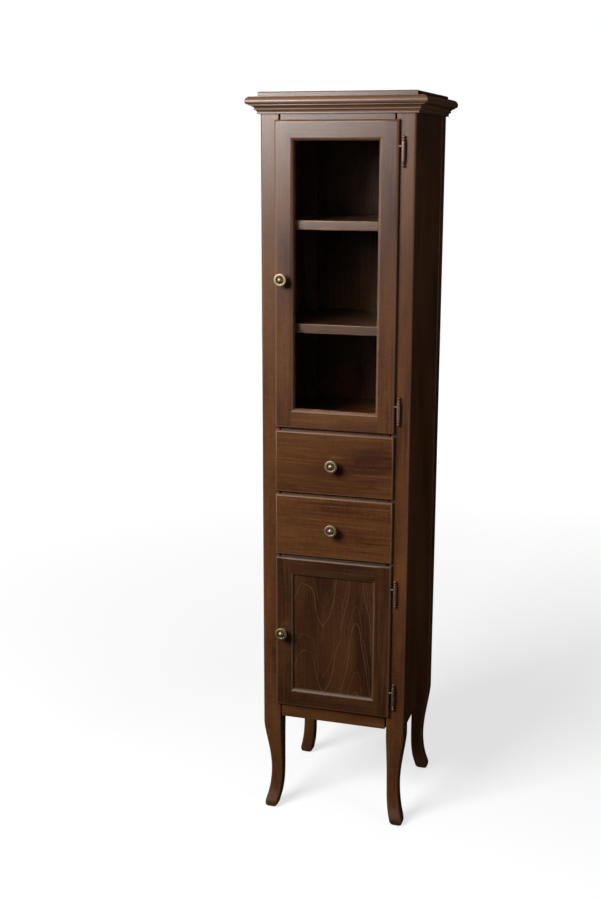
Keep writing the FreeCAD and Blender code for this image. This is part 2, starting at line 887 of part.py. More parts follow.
def framed_door(name, z_low, height, knob_rise, catch_z, pane_label, pane_thickness, beaded):
    """A door of two stiles and two rails round a pane or panel."""
    z_high = z_low + height
    face_z = (z_low + size.door_frame_width, z_high - size.door_frame_width)
    sight_z = (face_z[0] + size.sticking_width, face_z[1] - size.sticking_width)
    knob_x = size.knob_from_door_edge - front_half
    knob_z = z_low + knob_rise

    # rounded lip with a moulded opening
    body = lipped_front(name + "_lip_body", z_low, z_high)
    step = new_sketch(body, name + "_step", "XZ_Plane", lip_thickness)
    rectangle(step, face_half, face_z[0], face_z[1])
    quirk = body.newObject("PartDesign::Pocket", name + "_quirk")
    quirk.Profile = step
    bind(quirk, "Length", size.sticking_quirk)
    sight = new_sketch(body, name + "_sight", "XZ_Plane", lip_thickness)
    rectangle(sight, sight_half, sight_z[0], sight_z[1])
    opening = body.newObject("PartDesign::Pocket", name + "_opening")
    opening.Profile = sight
    opening.Type = "ThroughAll"
    round_edges(body, name + "_sticking", opening, size.sticking_radius, at_quirk)

    # inset part behind the lip, the hole through it and the seat of the pane
    slab = inset_slab(name + "_inset", z_low, z_high)
    hole = box(name + "_inset_hole", both_ways(sight_half), (lip_back, inset_back), sight_z)
    seat_half = sight_half + size.pane_rabbet
    seat_z = (sight_z[0] - size.pane_rabbet, sight_z[1] + size.pane_rabbet)
    pane_back = pane_front + pane_thickness
    seat_back = inset_back if beaded else pane_back
    seat = box(name + "_seat", both_ways(seat_half), (pane_front, seat_back), seat_z)
    screw_hole = knob(name + "_knob", knob_x, knob_z)
    halves = []
    shank_holes = []
    for end, z in (
        ("upper", z_high - size.hinge_from_top),
        ("lower", z_low + size.hinge_from_bottom),
    ):
        half, shank_hole = hinge(f"{name}_{end}_hinge", z)
        halves.append(half)
        shank_holes.append(shank_hole)
    keep(group(name + "_hinge_set", halves), name + "_hinge_halves")
    blank = join(name + "_blank", body, slab)
    frame = cut(name + "_frame", blank, hole, seat, screw_hole, *shank_holes)

    # the frame parts along its joints into four members
    members = {
        "hinge_stile": (
            (face_half, z_low),
            (front_half, z_low),
            (front_half, z_high),
            (face_half, z_high),
            (face_half, face_z[1]),
            (sight_half, sight_z[1]),
            (sight_half, sight_z[0]),
            (face_half, face_z[0]),
        ),
        "latch_stile": (
            (-front_half, z_low),
            (-face_half, z_low),
            (-face_half, face_z[0]),
            (-sight_half, sight_z[0]),
            (-sight_half, sight_z[1]),
            (-face_half, face_z[1]),
            (-face_half, z_high),
            (-front_half, z_high),
        ),
        "bottom_rail": (
            (-face_half, z_low),
            (face_half, z_low),
            (face_half, face_z[0]),
            (sight_half, sight_z[0]),
            (-sight_half, sight_z[0]),
            (-face_half, face_z[0]),
        ),
        "top_rail": (
            (-face_half, z_high),
            (-face_half, face_z[1]),
            (-sight_half, sight_z[1]),
            (sight_half, sight_z[1]),
            (face_half, face_z[1]),
            (face_half, z_high),
        ),
    }
    for member, corners in members.items():
        tag = f"{name}_{member}"
        region = new_body(tag + "_region")
        shape = new_sketch(region, tag + "_shape", "XZ_Plane")
        outline(shape, corners)
        pad(region, tag + "_block", shape, inset_back - lip_face)
        place(region, ZERO, inset_back, ZERO)
        keep(overlap(tag + "_member", frame, region), tag)

    spare = size.pane_clearance
    pane = box(
        name + "_pane_sheet",
        both_ways(seat_half - spare),
        (pane_front, pane_back),
        (seat_z[0] + spare, seat_z[1] - spare),
    )
    keep(pane, pane_label)
    if beaded:
        bead_y = (pane_back, inset_back)
        beads = [
            box(name + "_left_bead", (-seat_half, -sight_half), bead_y, seat_z),
            box(name + "_right_bead", (sight_half, seat_half), bead_y, seat_z),
            box(name + "_low_bead", both_ways(sight_half), bead_y, (seat_z[0], sight_z[0])),
            box(name + "_high_bead", both_ways(sight_half), bead_y, (sight_z[1], seat_z[1])),
        ]
        keep(group(name + "_bead_set", beads), name + "_glazing_beads")

    # a catch on the post and the strike plate that it holds
    strike_back = inset_back + size.strike_thickness
    catch_x = size.catch_width - opening_half
    strike = box(
        name + "_strike_sheet",
        (-inset_half, catch_x),
        (inset_back, strike_back),
        (catch_z - size.strike_height / 2, catch_z + size.strike_height / 2),
    )
    keep(strike, name + "_strike_plate")
    catch_front = strike_back + size.strike_gap
    return box(
        name + "_catch",
        (-opening_half, catch_x),
        (catch_front, catch_front + size.catch_depth),
        (catch_z - size.catch_height / 2, catch_z + size.catch_height / 2),
    )


lower_shelf_top = lower_shelf_bottom + size.shelf_thickness
glass_door_catch_z = lower_shelf_top + size.catch_shelf_gap + size.catch_height / 2
lower_door_catch_z = lower_door_bottom + size.lower_door_knob_rise - size.catch_drop
catches = [
    framed_door(
        "glass_door",
        glass_door_bottom,
        size.glass_door_height,
        size.glass_door_knob_rise,
        glass_door_catch_z,
        "glass_door_pane",
        size.glass_thickness,
        True,
    ),
    framed_door(
        "lower_door",
        lower_door_bottom,
        size.lower_door_height,
        size.lower_door_knob_rise,
        lower_door_catch_z,
        "lower_door_panel",
        size.panel_thickness,
        False,
    ),
]
keep(group("door_catch_set", catches), "door_catches")
keep(group("frame_hinge_set", frame_hinge_halves), "frame_hinge_halves")

# ---------------------------------------------------- corner posts and their legs

LEG_SECTIONS = (
    (knee_z, size.knee_outer, size.knee_inner, size.leg_corner_radius),
    (brow_z, size.brow_outer, size.brow_inner, size.leg_corner_radius),
    (calf_z, size.calf_outer, size.calf_inner, size.leg_corner_radius),
    (shin_z, size.shin_outer, size.shin_inner, size.leg_corner_radius),
    (ankle_z, size.ankle_outer, size.ankle_inner, size.leg_corner_radius),
    (instep_z, size.instep_outer, size.instep_inner, size.leg_corner_radius),
    (toe_z, size.toe_outer, size.toe_inner, size.leg_corner_radius),
    (ZERO, size.sole_outer, size.sole_inner, size.leg_corner_radius),
)


def at_floor(bound):
    return abs(bound.ZMin) < NEAR and bound.ZLength < NEAR


def post(name, x, y, angle):
    """A square post whose lower end curves out as a leg. Its outer corner is
    at the body's origin, and the section is the same in both directions."""
    body = new_body(name + "_body")
    square = new_sketch(body, name + "_square", "XY_Plane", shoulder_z)
    rounded_square(square, ZERO, size.post_size, size.post_corner_radius)
    pad(body, name + "_shaft", square, carcass_top - shoulder_z)
    doc.recompute()
    neck = new_sketch(body, name + "_neck", "XY_Plane", shoulder_z)
    rounded_square(neck, ZERO, size.post_size, size.post_corner_radius)
    sections = []
    for number, (z, outer, inner, radius) in enumerate(LEG_SECTIONS):
        section = new_sketch(body, f"{name}_leg_{number}", "XY_Plane", z)
        rounded_square(section, outer, size.post_size - inner, radius)
        sections.append(section)
    leg = body.newObject("PartDesign::AdditiveLoft", name + "_leg")
    leg.Profile = neck
    leg.Sections = sections
    round_edges(body, name + "_sole", leg, size.sole_edge_radius, at_floor)
    body.Placement = FreeCAD.Placement(Vector(), FreeCAD.Rotation(Vector(0, 0, 1), angle))
    place(body, x, y, ZERO)
    return body


POSTS = (
    ("front", "left", -half_width, front, 0),
    ("front", "right", half_width, front, 90),
    ("back", "right", half_width, back, 180),
    ("back", "left", -half_width, back, 270),
)
for end, side, x, y, angle in POSTS:
    name = f"{end}_{side}_post"
    waste = mortises[end] + [panel_grooves[side]] + pin_holes[f"{end}_{side}"]
    if end == "back":
        waste.append(back_rabbet)
    if (end, side) == ("front", "right"):
        waste += frame_hinge_holes
    keep(cut(name + "_cut", post(name, x, y, angle), *waste), name)

# -------------------------------------------------------------- top board, cornice


def top_front_edges(bound):
    """True for the upper edges of the top board, apart from the one at the back."""
    at_top = abs(bound.ZMin - size.top_board_thickness.value) < NEAR and bound.ZLength < NEAR
    return at_top and not abs(bound.YMin - back.value) < NEAR


top_body = new_body("top_board_body")
top_sketch = new_sketch(top_body, "top_board_outline", "XY_Plane")
top_half = half_width + size.top_board_side_overhang
top_front = front - size.top_board_front_overhang
outline(
    top_sketch,
    ((-top_half, top_front), (top_half, top_front), (top_half, back), (-top_half, back)),
)
top_pad = pad(top_body, "top_board_pad", top_sketch, size.top_board_thickness)
round_edges(top_body, "top_board_round", top_pad, size.top_board_edge_radius, top_front_edges)
place(top_body, ZERO, ZERO, carcass_top)
keep(top_body, "top_board")

foot_z = size.cornice_foot_height
bead_z = foot_z + size.cornice_bead_height
cove_z = bead_z + size.cornice_cove_height
fillet_z = cove_z + size.cornice_fillet_height
undercut_z = fillet_z + size.cornice_undercut_height
nose_z = undercut_z + size.cornice_nose_height
round_z = nose_z + size.cornice_round_height
cornice_height = round_z + size.cornice_top_step


def cornice_outline(sign):
    """The moulding's section, from its foot up. Sign +1 faces right, -1 left."""
    corners = (
        (ZERO, ZERO),
        (size.cornice_foot_projection, ZERO, size.cornice_foot_radius, -1),
        (size.cornice_foot_reach, foot_z),
        (size.cornice_bead_reach, foot_z, size.cornice_bead_height * ROUNDNESS, 1),
        (size.cornice_bead_reach, bead_z, size.cornice_cove_radius, -1),
        (size.cornice_fillet_reach, cove_z),
        (size.cornice_fillet_reach, fillet_z),
        (size.cornice_undercut_reach, undercut_z, size.cornice_nose_radius, 1),
        (size.cornice_projection, nose_z, size.cornice_round_radius, 1),
        (size.cornice_top_flat, round_z),
        (size.cornice_top_flat, cornice_height),
        (ZERO, cornice_height),
    )
    turned_corners = []
    for corner in corners:
        flat = (corner[0] * sign, corner[1])
        turned_corners.append(flat + ((corner[2], corner[3] * sign) if len(corner) > 2 else ()))
    return turned_corners


SPARE = measure(1)
mitre_reach = size.cornice_projection + SPARE


def mitre(body, name, triangles):
    """Saws the ends of a moulding off at 45 degrees."""
    sketch = new_sketch(body, name + "_mitre_lines", "XY_Plane", cornice_height)
    for corners in triangles:
        outline(sketch, corners)
    pocket = body.newObject("PartDesign::Pocket", name + "_mitre")
    pocket.Profile = sketch
    bind(pocket, "Length", cornice_height)


cornice_bottom = carcass_top - cornice_height
front_moulding = new_body("cornice_front_body")
cornice_half = half_width + size.cornice_projection
section = new_sketch(front_moulding, "cornice_front_section", "YZ_Plane", -cornice_half)
outline(section, cornice_outline(-1))
pad(front_moulding, "cornice_front_run", section, cornice_half * 2)
mitre(
    front_moulding,
    "cornice_front",
    [
        (
            ((half_width - SPARE) * sign, SPARE),
            ((half_width + mitre_reach) * sign, -mitre_reach),
            ((half_width + mitre_reach) * sign, SPARE),
        )
        for sign in (-1, 1)
    ],
)
place(front_moulding, ZERO, front, cornice_bottom)
keep(front_moulding, "cornice_front")

for side, sign in (("left", -1), ("right", 1)):
    label = "cornice_" + side
    moulding = new_body(label + "_body")
    section = new_sketch(moulding, label + "_section", "XZ_Plane")
    outline(section, cornice_outline(sign))
    pad(moulding, label + "_run", section, size.body_depth + size.cornice_projection)
    mitre(
        moulding,
        label,
        [
            (
                (-SPARE * sign, SPARE - size.body_depth),
                (mitre_reach * sign, -size.body_depth - mitre_reach),
                (-SPARE * sign, -size.body_depth - mitre_reach),
            )
        ],
    )
    place(moulding, half_width * sign, back, cornice_bottom)
    keep(moulding, label)

# ------------------------------------------------------- check and write the pieces

doc.recompute()
faults = [
    item.Name for item in doc.Objects if "Invalid" in item.State or "Error" in item.State
]
for label, item in pieces.items():
    if item.Shape.isNull() or not item.Shape.isValid():
        faults.append(label)
if faults:
    raise RuntimeError("faulty: " + ", ".join(faults))
for label, item in pieces.items():
    item.Shape.exportStep(f"parts/{label}.step")
    print(label, len(item.Shape.Solids), round(item.Shape.Volume / 1000, 1), "cm3")
print(len(pieces), "pieces, height", round(top_z.value, 1))
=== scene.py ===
# %% [markdown]
# A tall bathroom cabinet, finished for its picture.
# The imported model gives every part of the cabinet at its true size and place.
# The steps below put finer pieces where rounded edges and turned shapes catch
# the light, and give every surface its stain, lacquer, brass or glass. Tenons,
# mortises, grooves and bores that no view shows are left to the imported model.
# All lengths are in metres. The cabinet stands on z = 0 and faces -y.
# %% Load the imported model
import math

import bmesh
import bpy
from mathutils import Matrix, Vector


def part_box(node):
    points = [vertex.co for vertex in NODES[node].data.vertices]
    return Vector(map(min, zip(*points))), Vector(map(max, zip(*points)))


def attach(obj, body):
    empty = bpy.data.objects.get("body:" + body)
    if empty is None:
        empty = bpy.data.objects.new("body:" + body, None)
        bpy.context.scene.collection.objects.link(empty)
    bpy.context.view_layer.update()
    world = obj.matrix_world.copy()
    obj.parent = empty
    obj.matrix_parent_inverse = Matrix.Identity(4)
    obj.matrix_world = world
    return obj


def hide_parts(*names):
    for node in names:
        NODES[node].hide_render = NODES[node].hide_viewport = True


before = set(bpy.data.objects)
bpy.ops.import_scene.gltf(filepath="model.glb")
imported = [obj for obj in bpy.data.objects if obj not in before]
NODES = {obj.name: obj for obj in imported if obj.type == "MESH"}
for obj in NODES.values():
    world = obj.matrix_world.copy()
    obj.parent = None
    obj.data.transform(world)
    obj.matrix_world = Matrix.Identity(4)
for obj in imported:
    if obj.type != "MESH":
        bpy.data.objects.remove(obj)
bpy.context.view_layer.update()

MM = 0.001
print("nodes in the frame:", len(NODES))

# %% [markdown]
# The camera stands to the right of the cabinet, a little below its top, and
# looks down at it through a normal lens. Its place and its angles, in radians,
# were found by matching the corners of the doors, drawers and cornice in the
# photograph with the same corners of the model.
# %% Set up the camera
CAMERA_PLACE = (0.7334, -2.8247, 1.5728)
LOOKS_DOWN = 0.23217
LEANS = -0.00105
LOOKS_LEFT = 0.29562
scene = bpy.context.scene
camera = bpy.data.objects.new("camera", bpy.data.cameras.new("camera"))
scene.collection.objects.link(camera)
camera.data.lens = 50.345
camera.data.sensor_width = 36
camera.location = CAMERA_PLACE
camera.rotation_euler = (math.pi / 2 - LOOKS_DOWN, LEANS, LOOKS_LEFT)
scene.camera = camera
scene.view_settings.view_transform = "Standard"
print("camera at", [round(value, 3) for value in camera.location])

# %% [markdown]
# One large softbox lights the cabinet from the upper left. It throws a soft
# shadow of each knob down to its right. Its lower edge stands just above the
# direction that the top of the cabinet's front reflects. The satin lacquer up
# there catches a grey sheen that fades downwards, and the glass stays dark. A
# weak upright reflector close to the right side lifts that side's front edge.
# %% Light the studio
SOFTBOX_AIM = Vector((0, -0.15, 1.1))
SOFTBOX_DISTANCE = 2.8
AZIMUTH = math.radians(29)
ELEVATION = math.radians(25)


def area_light(name, width, height, power, place, turn):
    """A lamp with a rectangular face."""
    lamp = bpy.data.lights.new(name, "AREA")
    lamp.shape = "RECTANGLE"
    lamp.size = width
    lamp.size_y = height
    lamp.energy = power
    light = bpy.data.objects.new(name, lamp)
    scene.collection.objects.link(light)
    light.location = place
    light.rotation_euler = turn
    print(name, "at", [round(value, 2) for value in light.location])
    return light


flat = math.cos(ELEVATION)
towards_light = Vector((-math.sin(AZIMUTH) * flat, -math.cos(AZIMUTH) * flat, math.sin(ELEVATION)))
area_light(
    "softbox",
    width=1.35,
    height=1.2,
    power=98,
    place=SOFTBOX_AIM + towards_light * SOFTBOX_DISTANCE,
    turn=towards_light.to_track_quat("Z", "Y").to_euler(),
)
reflector = area_light(
    "side_reflector",
    width=0.35,
    height=1.8,
    power=2.4,
    place=(1.05, -0.62, 1.15),
    turn=(math.pi / 2, 0, math.radians(64)),
)
reflector.visible_camera = False

# %% [markdown]
# The world and all finishes are networks of shader nodes. A few small helpers
# that add a node and link its sockets make them as short to read as a sum.
# %% Tools for shader nodes


def new_material(name):
    material = bpy.data.materials.new(name)
    material.use_nodes = True
    return material


def feed(node, inputs):
    """Gives a node's inputs, by their names or numbers, a link or a value."""
    for label, value in inputs.items():
        if isinstance(value, bpy.types.NodeSocket):
            node.id_data.links.new(value, node.inputs[label])
        else:
            node.inputs[label].default_value = value


def add_node(tree, kind, inputs=None, **settings):
    """A node of one kind, with its inputs and settings."""
    node = tree.nodes.new(kind)
    for setting, value in settings.items():
        setattr(node, setting, value)
    feed(node, inputs or {})
    return node


def calculate(tree, operation, *values, clamp=False):
    """A Math node's result."""
    inputs = dict(enumerate(values))
    node = add_node(tree, "ShaderNodeMath", inputs, operation=operation, use_clamp=clamp)
    return node.outputs[0]


def blend_colours(tree, factor, first, second):
    """A Mix node's colour."""
    inputs = {0: factor, 6: first, 7: second}
    return add_node(tree, "ShaderNodeMix", inputs, data_type="RGBA").outputs[2]


def between(tree, value, low, high, to_low=0.0, to_high=1.0):
    """A value stretched from one range to another, and kept inside it."""
    inputs = dict(enumerate((value, low, high, to_low, to_high)))
    return add_node(tree, "ShaderNodeMapRange", inputs, clamp=True).outputs[0]


def coordinates(tree, kind):
    """One output of a Texture Coordinate node."""
    return add_node(tree, "ShaderNodeTexCoord").outputs[kind]


def axes(tree, vector):
    """The x, y and z of a vector."""
    return list(add_node(tree, "ShaderNodeSeparateXYZ", {0: vector}).outputs)


print("tools for shader nodes ready")

# %% [markdown]
# The world is dim for light that falls on the cabinet, less so straight behind
# it, and white where the camera looks at it or through the glass. Reflections
# see a white wall on the left and a dark curtain elsewhere, which keeps the
# right side deep. A Light Path node tells these kinds of ray apart.
# %% Backdrop
AMBIENT = 0.10
BEHIND = 1.6
CURTAIN = 0.004
WALL = 1.0
WHITE = (1, 1, 1, 1)


def seen_straight(tree, rays):
    """1 for what the camera sees directly or through glass."""
    direct = calculate(
        tree, "MAXIMUM", rays.outputs["Is Camera Ray"], rays.outputs["Is Transmission Ray"]
    )
    bounces = calculate(tree, "ADD", rays.outputs["Diffuse Depth"], rays.outputs["Glossy Depth"])
    return calculate(tree, "MULTIPLY", direct, calculate(tree, "LESS_THAN", bounces, 0.5))


def bounced_off(tree, rays, kind):
    """1 for what is seen by way of a Glossy or a Diffuse surface."""
    return calculate(tree, "GREATER_THAN", rays.outputs[kind + " Depth"], 0.5)


world = bpy.data.worlds.new("studio")
world.use_nodes = True
scene.world = world
tree = world.node_tree
tree.nodes.clear()
rays = add_node(tree, "ShaderNodeLightPath")
to_right, to_back = axes(tree, coordinates(tree, "Generated"))[:2]
left_wall = between(tree, to_right, -0.55, -0.95, CURTAIN, WALL)
mirrored = calculate(tree, "MULTIPLY", bounced_off(tree, rays, "Glossy"), left_wall)
strength = calculate(tree, "MAXIMUM", seen_straight(tree, rays), mirrored)
soft = between(tree, to_back, 0.75, 0.97, AMBIENT, BEHIND)
scattered = calculate(tree, "MULTIPLY", bounced_off(tree, rays, "Diffuse"), soft)
strength = calculate(tree, "MAXIMUM", strength, scattered)
backdrop = add_node(tree, "ShaderNodeBackground", {"Color": WHITE, "Strength": strength})
add_node(tree, "ShaderNodeOutputWorld", {"Surface": backdrop.outputs[0]})
print("backdrop:", world.name)

# %% [markdown]
# The floor is a pale sheet that keeps the cabinet's shadow. Far from the
# cabinet it turns as white as the backdrop, so that no line shows between. A
# real sheet would throw much light back at the cabinet. This one is dark for
# such rays, so the legs and the right side stay deep.
# %% Floor
PAPER = (0.5, 0.5, 0.5, 1)
PAPER_BOUNCE = (0.06, 0.06, 0.06, 1)
PAPER_IN_GLOSS = (0.01, 0.01, 0.01, 1)
NEAR_GLOW = 0.66
bpy.ops.object.select_all(action="DESELECT")
bpy.ops.mesh.primitive_plane_add(size=14, location=(0, 0, 0))
floor = bpy.context.object
floor.name = "floor"
paper = new_material("pale_paper")
tree = paper.node_tree
rays = add_node(tree, "ShaderNodeLightPath")
shown = seen_straight(tree, rays)
bounced = blend_colours(tree, bounced_off(tree, rays, "Glossy"), PAPER_BOUNCE, PAPER_IN_GLOSS)
place = {0: coordinates(tree, "Object")}
from_middle = add_node(tree, "ShaderNodeVectorMath", place, operation="LENGTH")
glow = between(tree, from_middle.outputs["Value"], 0.8, 4.0, NEAR_GLOW, 1.0)
sheet = {
    "Base Color": blend_colours(tree, shown, bounced, PAPER),
    "Emission Color": WHITE,
    "Emission Strength": calculate(tree, "MULTIPLY", glow, shown),
    "Roughness": 1.0,
    "Specular IOR Level": 0.0,
}
feed(tree.nodes["Principled BSDF"], sheet)
floor.data.materials.append(paper)
print("floor ready:", floor.name)

# %% [markdown]
# Stained beech shows its grain in several sizes: slow drifts of tone along a
# board, streaks of a few millimetres, fine fibres, and short flecks across
# them. One shader group makes them all from noise that is stretched along the
# grain, which runs along the group's own Z. Each board's material turns and
# shifts the pattern, so that no two boards share a grain. On rounded edges and
# mouldings the lacquer is rubbed matt and the stain is thinner, so they turn
# paler than the flats. That paler colour also paints a highlight on them, as
# such curves catch the light.
# %% Grain of stained wood
MATT_EDGE = 0.55
# stain rubbed thin on the edges, a colour that also paints their highlight
EDGE_WEAR_AND_HIGHLIGHT = (0.23, 0.117, 0.054, 1)
MEAN_PALENESS = 0.30
COLOUR, NUMBER, PLACE = "NodeSocketColor", "NodeSocketFloat", "NodeSocketVector"
SURFACE = (("Color", COLOUR), ("Roughness", NUMBER), ("Height", NUMBER))


def new_group(name, inputs):
    """A shader group that puts out a surface, and its two end nodes."""
    group = bpy.data.node_groups.new(name, "ShaderNodeTree")
    for label, kind in inputs:
        group.interface.new_socket(label, in_out="INPUT", socket_type=kind)
    for label, kind in SURFACE:
        group.interface.new_socket(label, in_out="OUTPUT", socket_type=kind)
    return group, add_node(group, "NodeGroupInput"), add_node(group, "NodeGroupOutput")


def surface_of(node):
    """The colour, roughness and height that a placed group puts out."""
    return [node.outputs[label] for label, kind in SURFACE]


def stretched_noise(tree, vector, across, along, detail, distortion=0.0):
    """Noise with so many features to a metre across and along the grain."""
    inputs = {"Vector": vector, "Scale": (across, across, along)}
    stretched = add_node(tree, "ShaderNodeMapping", inputs).outputs[0]
    inputs = {"Vector": stretched, "Scale": 1.0, "Detail": detail, "Distortion": distortion}
    return add_node(tree, "ShaderNodeTexNoise", inputs).outputs[0]


def sway(tree, value, noise, reach, clamp=False):
    """A value that noise moves up and down, by up to half a reach each way."""
    swing = calculate(tree, "SUBTRACT", noise, 0.5)
    return calculate(tree, "MULTIPLY_ADD", swing, reach, value, clamp=clamp)


def rounded_share(tree):
    """0 on flat faces, and 1 where the surface turns away from them, as on
    rounded edges and mouldings."""
    normal = {0: coordinates(tree, "Normal")}
    facing = add_node(tree, "ShaderNodeVectorMath", normal, operation="ABSOLUTE")
    x, y, z = axes(tree, facing.outputs[0])
    largest = calculate(tree, "MAXIMUM", calculate(tree, "MAXIMUM", x, y), z)
    return between(tree, largest, 0.9995, 0.975)


def make_wood_grain():
    group, given, result = new_group(
        "wood_grain",
        (
            ("Vector", PLACE), ("Deep", COLOUR), ("Warm", COLOUR), ("Pale", COLOUR),
            ("Streaks", NUMBER), ("Edges", NUMBER),
        ),
    )
    vector = given.outputs["Vector"]
    drift = stretched_noise(group, vector, across=14, along=3.2, detail=2, distortion=0.4)
    hue = stretched_noise(group, vector, across=11, along=4, detail=1)
    streak = stretched_noise(group, vector, across=180, along=6, detail=3, distortion=0.3)
    line = stretched_noise(group, vector, across=340, along=5, detail=1, distortion=0.2)
    fibre = stretched_noise(group, vector, across=700, along=30, detail=2)
    fleck = stretched_noise(group, vector, across=60, along=380, detail=2)
    tint = between(group, hue, 0.35, 0.65)
    body = blend_colours(group, tint, given.outputs["Deep"], given.outputs["Warm"])
    # how far the tone leans towards the pale colour
    lean = sway(group, MEAN_PALENESS, drift, 1.7)
    lean = sway(group, lean, streak, given.outputs["Streaks"])
    lean = sway(group, lean, fibre, 0.8)
    lean = sway(group, lean, fleck, 0.7)
    pale_line = between(group, line, 0.63, 0.72, 0.0, 0.4)
    lean = calculate(group, "ADD", lean, pale_line, clamp=True)
    stained = blend_colours(group, lean, body, given.outputs["Pale"])
    rounded = rounded_share(group)
    # rounded parts turn paler: partly worn stain, partly a painted highlight
    pale_edge_and_highlight = calculate(group, "MULTIPLY", rounded, given.outputs["Edges"])
    satin = between(group, streak, 0.3, 0.7, 0.34, 0.29)
    matt = calculate(group, "MULTIPLY", rounded, MATT_EDGE)
    surface = {
        "Color": blend_colours(group, pale_edge_and_highlight, stained, EDGE_WEAR_AND_HIGHLIGHT),
        "Roughness": calculate(group, "MAXIMUM", satin, matt),
        "Height": calculate(group, "MULTIPLY_ADD", fibre, 0.6, streak),
    }
    feed(result, surface)
    return group


WOOD_GRAIN = make_wood_grain()
print("shader group:", WOOD_GRAIN.name)

# %% [markdown]
# Walnut stain on beech is a deep red brown that lets some paler yellow brown
# through, under a satin lacquer. The lacquer's gloss is the Principled shader's
# own reflection. A faint bump from the fibres breaks the reflection up.
# %% Stain and lacquer
STAIN = {
    "Deep": (0.047, 0.0120, 0.0036),
    "Warm": (0.083, 0.0270, 0.0062),
    "Pale": (0.158, 0.0600, 0.0175),
}
TURN_TO_RUN = {"z": (0, 0, 0), "x": (0, -math.pi / 2, 0), "y": (math.pi / 2, 0, 0)}
SHIFT = (0.37, 0.53, 1.7)
SATIN = 0.65
BUMP_STRENGTH = 0.35


def placed_coordinates(tree, run, start):
    """Object coordinates, turned so that the grain runs along Z, and shifted to
    a start that is the board's own."""
    inputs = {
        "Vector": coordinates(tree, "Object"),
        "Rotation": TURN_TO_RUN[run],
        "Location": [start * share for share in SHIFT],
    }
    return add_node(tree, "ShaderNodeMapping", inputs).outputs[0]


def stain_grain(tree, vector, tone, streaks, edges):
    """The wood_grain group with this cabinet's stain. A low tone is a dark one."""
    inputs = {"Vector": vector, "Streaks": streaks, "Edges": edges}
    for label, colour in STAIN.items():
        inputs[label] = [channel * tone for channel in colour] + [1]
    return add_node(tree, "ShaderNodeGroup", inputs, node_tree=WOOD_GRAIN)


def lacquer(material, colour, roughness, height, depth, polish=SATIN, metallic=0.0):
    """Joins colour, roughness and a bump of some depth to the material's
    shader. Polish is how strongly the surface reflects."""
    tree = material.node_tree
    inputs = {"Strength": BUMP_STRENGTH, "Distance": depth, "Height": height}
    surface = {
        "Base Color": colour,
        "Roughness": roughness,
        "Normal": add_node(tree, "ShaderNodeBump", inputs).outputs[0],
        "Specular IOR Level": polish,
        "Metallic": metallic,
    }
    feed(tree.nodes["Principled BSDF"], surface)


def stained_wood(name, run, start, tone=1.0, streaks=0.8, polish=SATIN, edges=0.36):
    """Stained and lacquered wood whose grain runs along x, y or z. Edges is how
    far the edges turn paler: the stain rubbed off them, and a painted highlight
    on them too."""
    material = new_material(name)
    tree = material.node_tree
    grain = stain_grain(tree, placed_coordinates(tree, run, start), tone, streaks, edges)
    lacquer(material, *surface_of(grain), depth=0.15 * MM, polish=polish)
    return material


def bare_wood(name, run, start):
    """Stained wood without lacquer, for what is inside the cabinet."""
    return stained_wood(name, run, start, tone=0.7, polish=0.12)


print("stain ready:", ", ".join(STAIN))

# %% [markdown]
# Every finer piece starts as a block or a drawn line and is shaped in edit
# mode, as at a workbench. These helpers select what the next tool works on:
# an operator acts on all that is selected, so each one starts by clearing the
# selection and then picks faces or edges by their place.
# %% Tools for modelling
NEAR = 0.02 * MM


def clear_selection():
    bpy.ops.object.select_all(action="DESELECT")


def only(piece):
    """Selects one object and nothing else."""
    if bpy.context.object and bpy.context.object.mode == "EDIT":
        leave_edit()
    clear_selection()
    piece.select_set(True)
    bpy.context.view_layer.objects.active = piece


def edit(piece):
    only(piece)
    bpy.ops.object.mode_set(mode="EDIT")


def leave_edit():
    bpy.ops.object.mode_set(mode="OBJECT")


def apply_place():
    """Puts the selected piece's place, turn and size into its mesh."""
    bpy.ops.object.transform_apply(location=True, rotation=True, scale=True)


def name_new(name):
    """Names the primitive that was just added, and applies its place."""
    piece = bpy.context.object
    piece.name = name
    apply_place()
    return piece


def set_piece(piece, turn, place):
    """Turns and moves a piece, mesh and all."""
    only(piece)
    piece.rotation_euler = turn
    piece.location = place
    apply_place()


def block(name, low, high):
    """A block between two corners."""
    clear_selection()
    size = [b - a for a, b in zip(low, high)]
    middle = [(a + b) / 2 for a, b in zip(low, high)]
    bpy.ops.mesh.primitive_cube_add(size=1, location=middle, scale=size)
    return name_new(name)


def pick_all():
    bpy.ops.mesh.select_all(action="SELECT")


def pick(piece, kind, wanted):
    """In edit mode, selects the faces or edges that pass a test. A face gives
    its middle and normal to the test, an edge the places of its two ends."""
    bpy.ops.mesh.select_mode(type=kind)
    bpy.ops.mesh.select_all(action="DESELECT")
    mesh = bmesh.from_edit_mesh(piece.data)
    if kind == "FACE":
        found = [f for f in mesh.faces if wanted(f.calc_center_median(), f.normal)]
    else:
        found = [e for e in mesh.edges if wanted(e.verts[0].co, e.verts[1].co)]
    for item in found:
        item.select_set(True)
    bmesh.update_edit_mesh(piece.data)


def level(value, other):
    return abs(value - other) < NEAR


def pull(x, y, z):
    """Extrudes what is picked by a step."""
    bpy.ops.mesh.extrude_region_move(TRANSFORM_OT_translate={"value": (x, y, z)})


def saw(place, facing, drop=False):
    """Cuts along a plane. The outer half can be dropped and the cut filled."""
    pick_all()
    bpy.ops.mesh.bisect(plane_co=place, plane_no=facing, use_fill=drop, clear_outer=drop)


def round_picked(radius, segments, profile=0.5):
    bpy.ops.mesh.bevel(offset=radius, segments=segments, affect="EDGES", profile=profile)


